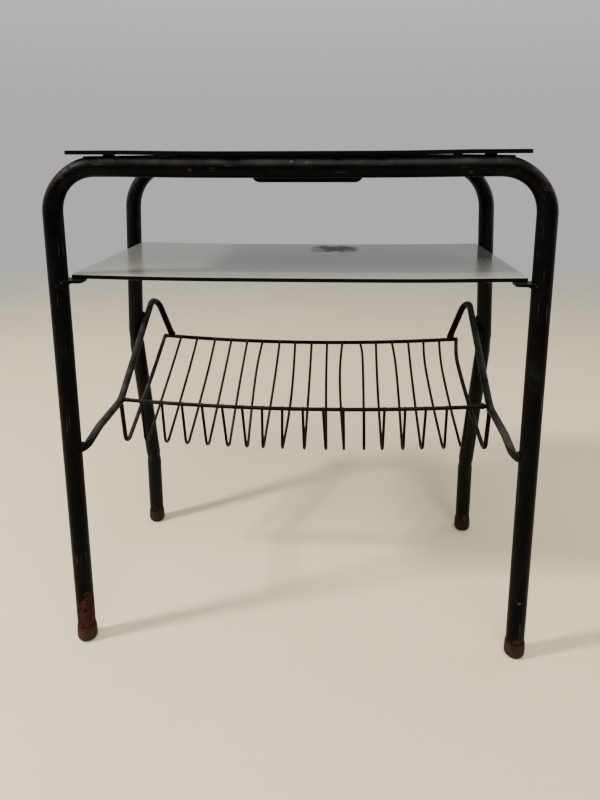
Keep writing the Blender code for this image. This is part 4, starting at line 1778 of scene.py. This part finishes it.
    def _rail_beads(self, side: Side) -> None:
        """Lays the beads between a side rod, the ends of both rails and the end wire.

        Args:
            side: The rod's side.
        """
        rack, sign = self.rack, side.value
        rail_end = Vector((sign * (rack.front_half - self.front_rail_in), rack.rail_y, rack.rail_z))
        inwards, back, down = self.front_rail_run
        inside = rail_end + Vector((-sign * inwards, back, -down))
        self._bead(rail_end, inside, self.front_rail_drop, count=3)
        climb = rack.uphill * self.wire_top_half
        rod = Vector((sign * rack.rod_x(rack.rail_y), rack.rail_y, rack.rail_z))
        wire_top = rod + rack.below * self.wire_top_below
        self._bead(wire_top - climb, wire_top + climb, self.wire_top_drop, count=3)
        rod_end = Vector((sign * rack.rod_end_x, rack.hook_y, rack.rod_end_z))
        spread = Vector((self.rod_end_half, 0.0, 0.0))
        self._bead(rod_end - spread, rod_end + spread, self.rod_end_drop, count=4)
        wire_end = Vector((sign * (rack.rear_half - rack.end_wire_r), rack.hook_y, rack.rear_rail_z))
        self._blob(wire_end + Vector(self.wire_end_off), self.wire_end_drop)

    def _wire_spots(self) -> None:
        """Adds the small weld spots where the thin wires meet the rails."""
        rack = self.rack
        for number, bend in enumerate(HAND_BENDS, start=1):
            front, _, rear = rack.thin_wire_points(number)
            front_side = Vector((0.0, rack.front_rail_r * self.shoulder, -self.off_seam))
            rear_side = Vector((bend.rear, -rack.rear_rail_r * self.shoulder, -self.off_seam))
            self._blob(front + front_side, self.wire_drop)
            self._blob(rear + rear_side, self.wire_drop)


@dataclass(frozen=True)
class SoftBox:
    """A soft light that hangs beside the table and points at it."""

    name: str
    place: Triple
    size: tuple[float, float]
    power: float
    colour: Triple
    aim: Triple = (0.0, 0.0, 0.3)

    def build(self) -> None:
        """Hangs the light."""
        data = bpy.data.lights.new(self.name, "AREA")
        data.shape = "RECTANGLE"
        data.size, data.size_y = self.size
        data.energy = self.power
        data.color = self.colour
        lamp = bpy.data.objects.new(self.name, data)
        lamp.location = self.place
        way = Vector(self.aim) - Vector(self.place)
        lamp.rotation_euler = way.to_track_quat("-Z", "Y").to_euler()
        bpy.context.scene.collection.objects.link(lamp)


@dataclass(frozen=True)
class Studio:
    """The pale floor, the soft lights and the camera."""

    layout: Layout
    floor_size: float = 14.0
    floor_colour: str = "#e0d2af"
    floor_cloud: str = "#d8c8a3"
    cloud_size: float = 0.25
    # Where the floor starts to thin out and where it has gone, as shares of its size
    thin_from: float = 0.07
    thin_to: float = 0.24
    # Light of the surrounding behind the camera and behind the table, linear
    dim: tuple[float, float, float, float] = (0.38, 0.38, 0.37, 1.0)
    pale: tuple[float, float, float, float] = (0.64, 0.645, 0.65, 1.0)
    lights: tuple[SoftBox, ...] = (
        SoftBox("key_softbox", (-1.6, -0.7, 1.9), (0.24, 0.24), 72.0, (1.0, 0.985, 0.96)),
        SoftBox("front_softbox", (0.2, -1.3, 2.1), (1.2, 1.2), 42.0, (1.0, 0.985, 0.965)),
        SoftBox("left_panel", (-1.7, 0.1, 0.9), (1.2, 1.4), 5.0, (1.0, 1.0, 1.0)),
        SoftBox("right_panel", (1.7, 0.5, 0.9), (1.2, 1.4), 8.0, (0.98, 0.99, 1.0)),
    )
    # The camera: the photo's focal length and the row of its optical axis, in its own pixels
    picture: tuple[int, int] = (600, 800)
    focal_pixels: float = 660.1
    axis_row: float = 297.8
    sensor: float = 36.0
    # Its place, and its turn in degrees
    stand_off: float = 0.6432
    aside: float = 0.0431
    eye_height: float = 0.544
    yaw: float = -3.41
    pitch: float = 12.43
    roll: float = 0.19

    def build(self) -> None:
        """Builds the floor, the lights and the camera."""
        self._floor()
        self._world()
        for light in self.lights:
            light.build()
        self._camera()

    def _floor(self) -> None:
        """Lays a plain pale floor that thins out into the surrounding far from the table."""
        mesh = bmesh.new()
        bmesh.ops.create_grid(mesh, x_segments=8, y_segments=8, size=self.floor_size / 2)
        data = bpy.data.meshes.new("pale_floor")
        mesh.to_mesh(data)
        mesh.free()
        data.materials.append(self._floor_finish())
        floor = bpy.data.objects.new("pale_floor", data)
        bpy.context.scene.collection.objects.link(floor)

    def _floor_finish(self) -> Material:
        """Makes the floor's finish: matt, a little cloudy, see-through far from the table.

        Returns:
            The material.
        """
        material, tree, shader = new_material("pale_floor_matt")
        place = add_node(tree, "TexCoord").outputs["Object"]
        cloudy = {"Scale": 1 / self.cloud_size, "Detail": 6.0, "Roughness": 0.6}
        cloud = add_node(tree, "TexNoise", {"Vector": place, **cloudy})
        tones = {UNDER: linear(self.floor_colour), OVER: linear(self.floor_cloud)}
        tone = add_node(tree, "Mix", {SHARE: cloud, **tones}, data_type="RGBA")
        feed(tree, shader, {"Base Color": tone, "Roughness": 0.75})
        out = add_node(tree, "VectorMath", {0: place}, operation="LENGTH")
        near, far = self.floor_size * self.thin_from, self.floor_size * self.thin_to
        ring = {"From Min": near, "From Max": far}
        thin = add_node(tree, "MapRange", {"Value": out, **ring}, interpolation_type="SMOOTHSTEP")
        clear = add_node(tree, "BsdfTransparent")
        fading = add_node(tree, "MixShader", {0: thin, 1: shader, 2: clear})
        feed(tree, tree.nodes["Material Output"], {"Surface": fading})
        return material

    def _world(self) -> None:
        """Gives a soft surrounding, dimmer low down and behind the camera, so that black stays deep."""
        world = bpy.data.worlds.new("soft_surround")
        world.use_nodes = True
        bpy.context.scene.world = world
        tree = world.node_tree
        way = add_node(tree, "TexCoord").outputs["Generated"]
        axes = add_node(tree, "SeparateXYZ", {"Vector": way})
        depth = {"Value": axes.outputs["Y"], "From Min": -0.8, "From Max": 0.7}
        behind = add_node(tree, "MapRange", depth, interpolation_type="SMOOTHSTEP")
        tone = add_node(tree, "Mix", {SHARE: behind, UNDER: self.dim, OVER: self.pale}, data_type="RGBA")
        span = {"To Min": 0.8, "To Max": 1.06}
        height = {"Value": axes.outputs["Z"], "From Min": 0.06, "From Max": 0.26, **span}
        fall = add_node(tree, "MapRange", height, interpolation_type="SMOOTHSTEP")
        feed(tree, tree.nodes["Background"], {"Color": tone, "Strength": fall})

    def _camera(self) -> None:
        """Sets the camera where the photo was taken."""
        yaw, pitch, roll = (math.radians(v) for v in (self.yaw, self.pitch, self.roll))
        ahead = Vector((math.sin(yaw) * math.cos(pitch), math.cos(yaw) * math.cos(pitch), -math.sin(pitch)))
        right = Vector((math.cos(yaw), -math.sin(yaw), 0.0))
        down = ahead.cross(right)
        across = right * math.cos(roll) + down * math.sin(roll)
        fall = down * math.cos(roll) - right * math.sin(roll)
        data = bpy.data.cameras.new("photo_camera")
        data.sensor_fit = "AUTO"
        data.sensor_width = self.sensor
        data.lens = self.focal_pixels * self.sensor / max(self.picture)
        data.shift_y = (self.axis_row - self.picture[1] / 2) / max(self.picture)
        camera = bpy.data.objects.new("photo_camera", data)
        turn = Matrix((across, -fall, -ahead)).transposed().to_4x4()
        eye = Vector((self.aside, self.layout.front_y - self.stand_off, self.eye_height))
        camera.matrix_world = Matrix.Translation(eye) @ turn
        bpy.context.scene.collection.objects.link(camera)
        bpy.context.scene.camera = camera


def corners(box: tuple[Vector, Vector]) -> list[list[float]]:
    """Turns a box into plain lists."""
    return [list(corner) for corner in box]


def main() -> None:
    """Loads the frame and dresses it."""
    logging.basicConfig(level=logging.INFO, format="%(name)s: %(message)s")
    for obj in list(bpy.data.objects):
        bpy.data.objects.remove(obj, do_unlink=True)
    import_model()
    layout = Layout.read()
    frames = Frames(layout)
    frames.build()
    Panes(layout, frames).build()
    rack = MagazineRack(layout, frames)
    rack.build()
    GripRod(layout).build()
    Welds(layout, frames, rack).build()
    Studio(layout).build()


if __name__ == "__main__":
    main()
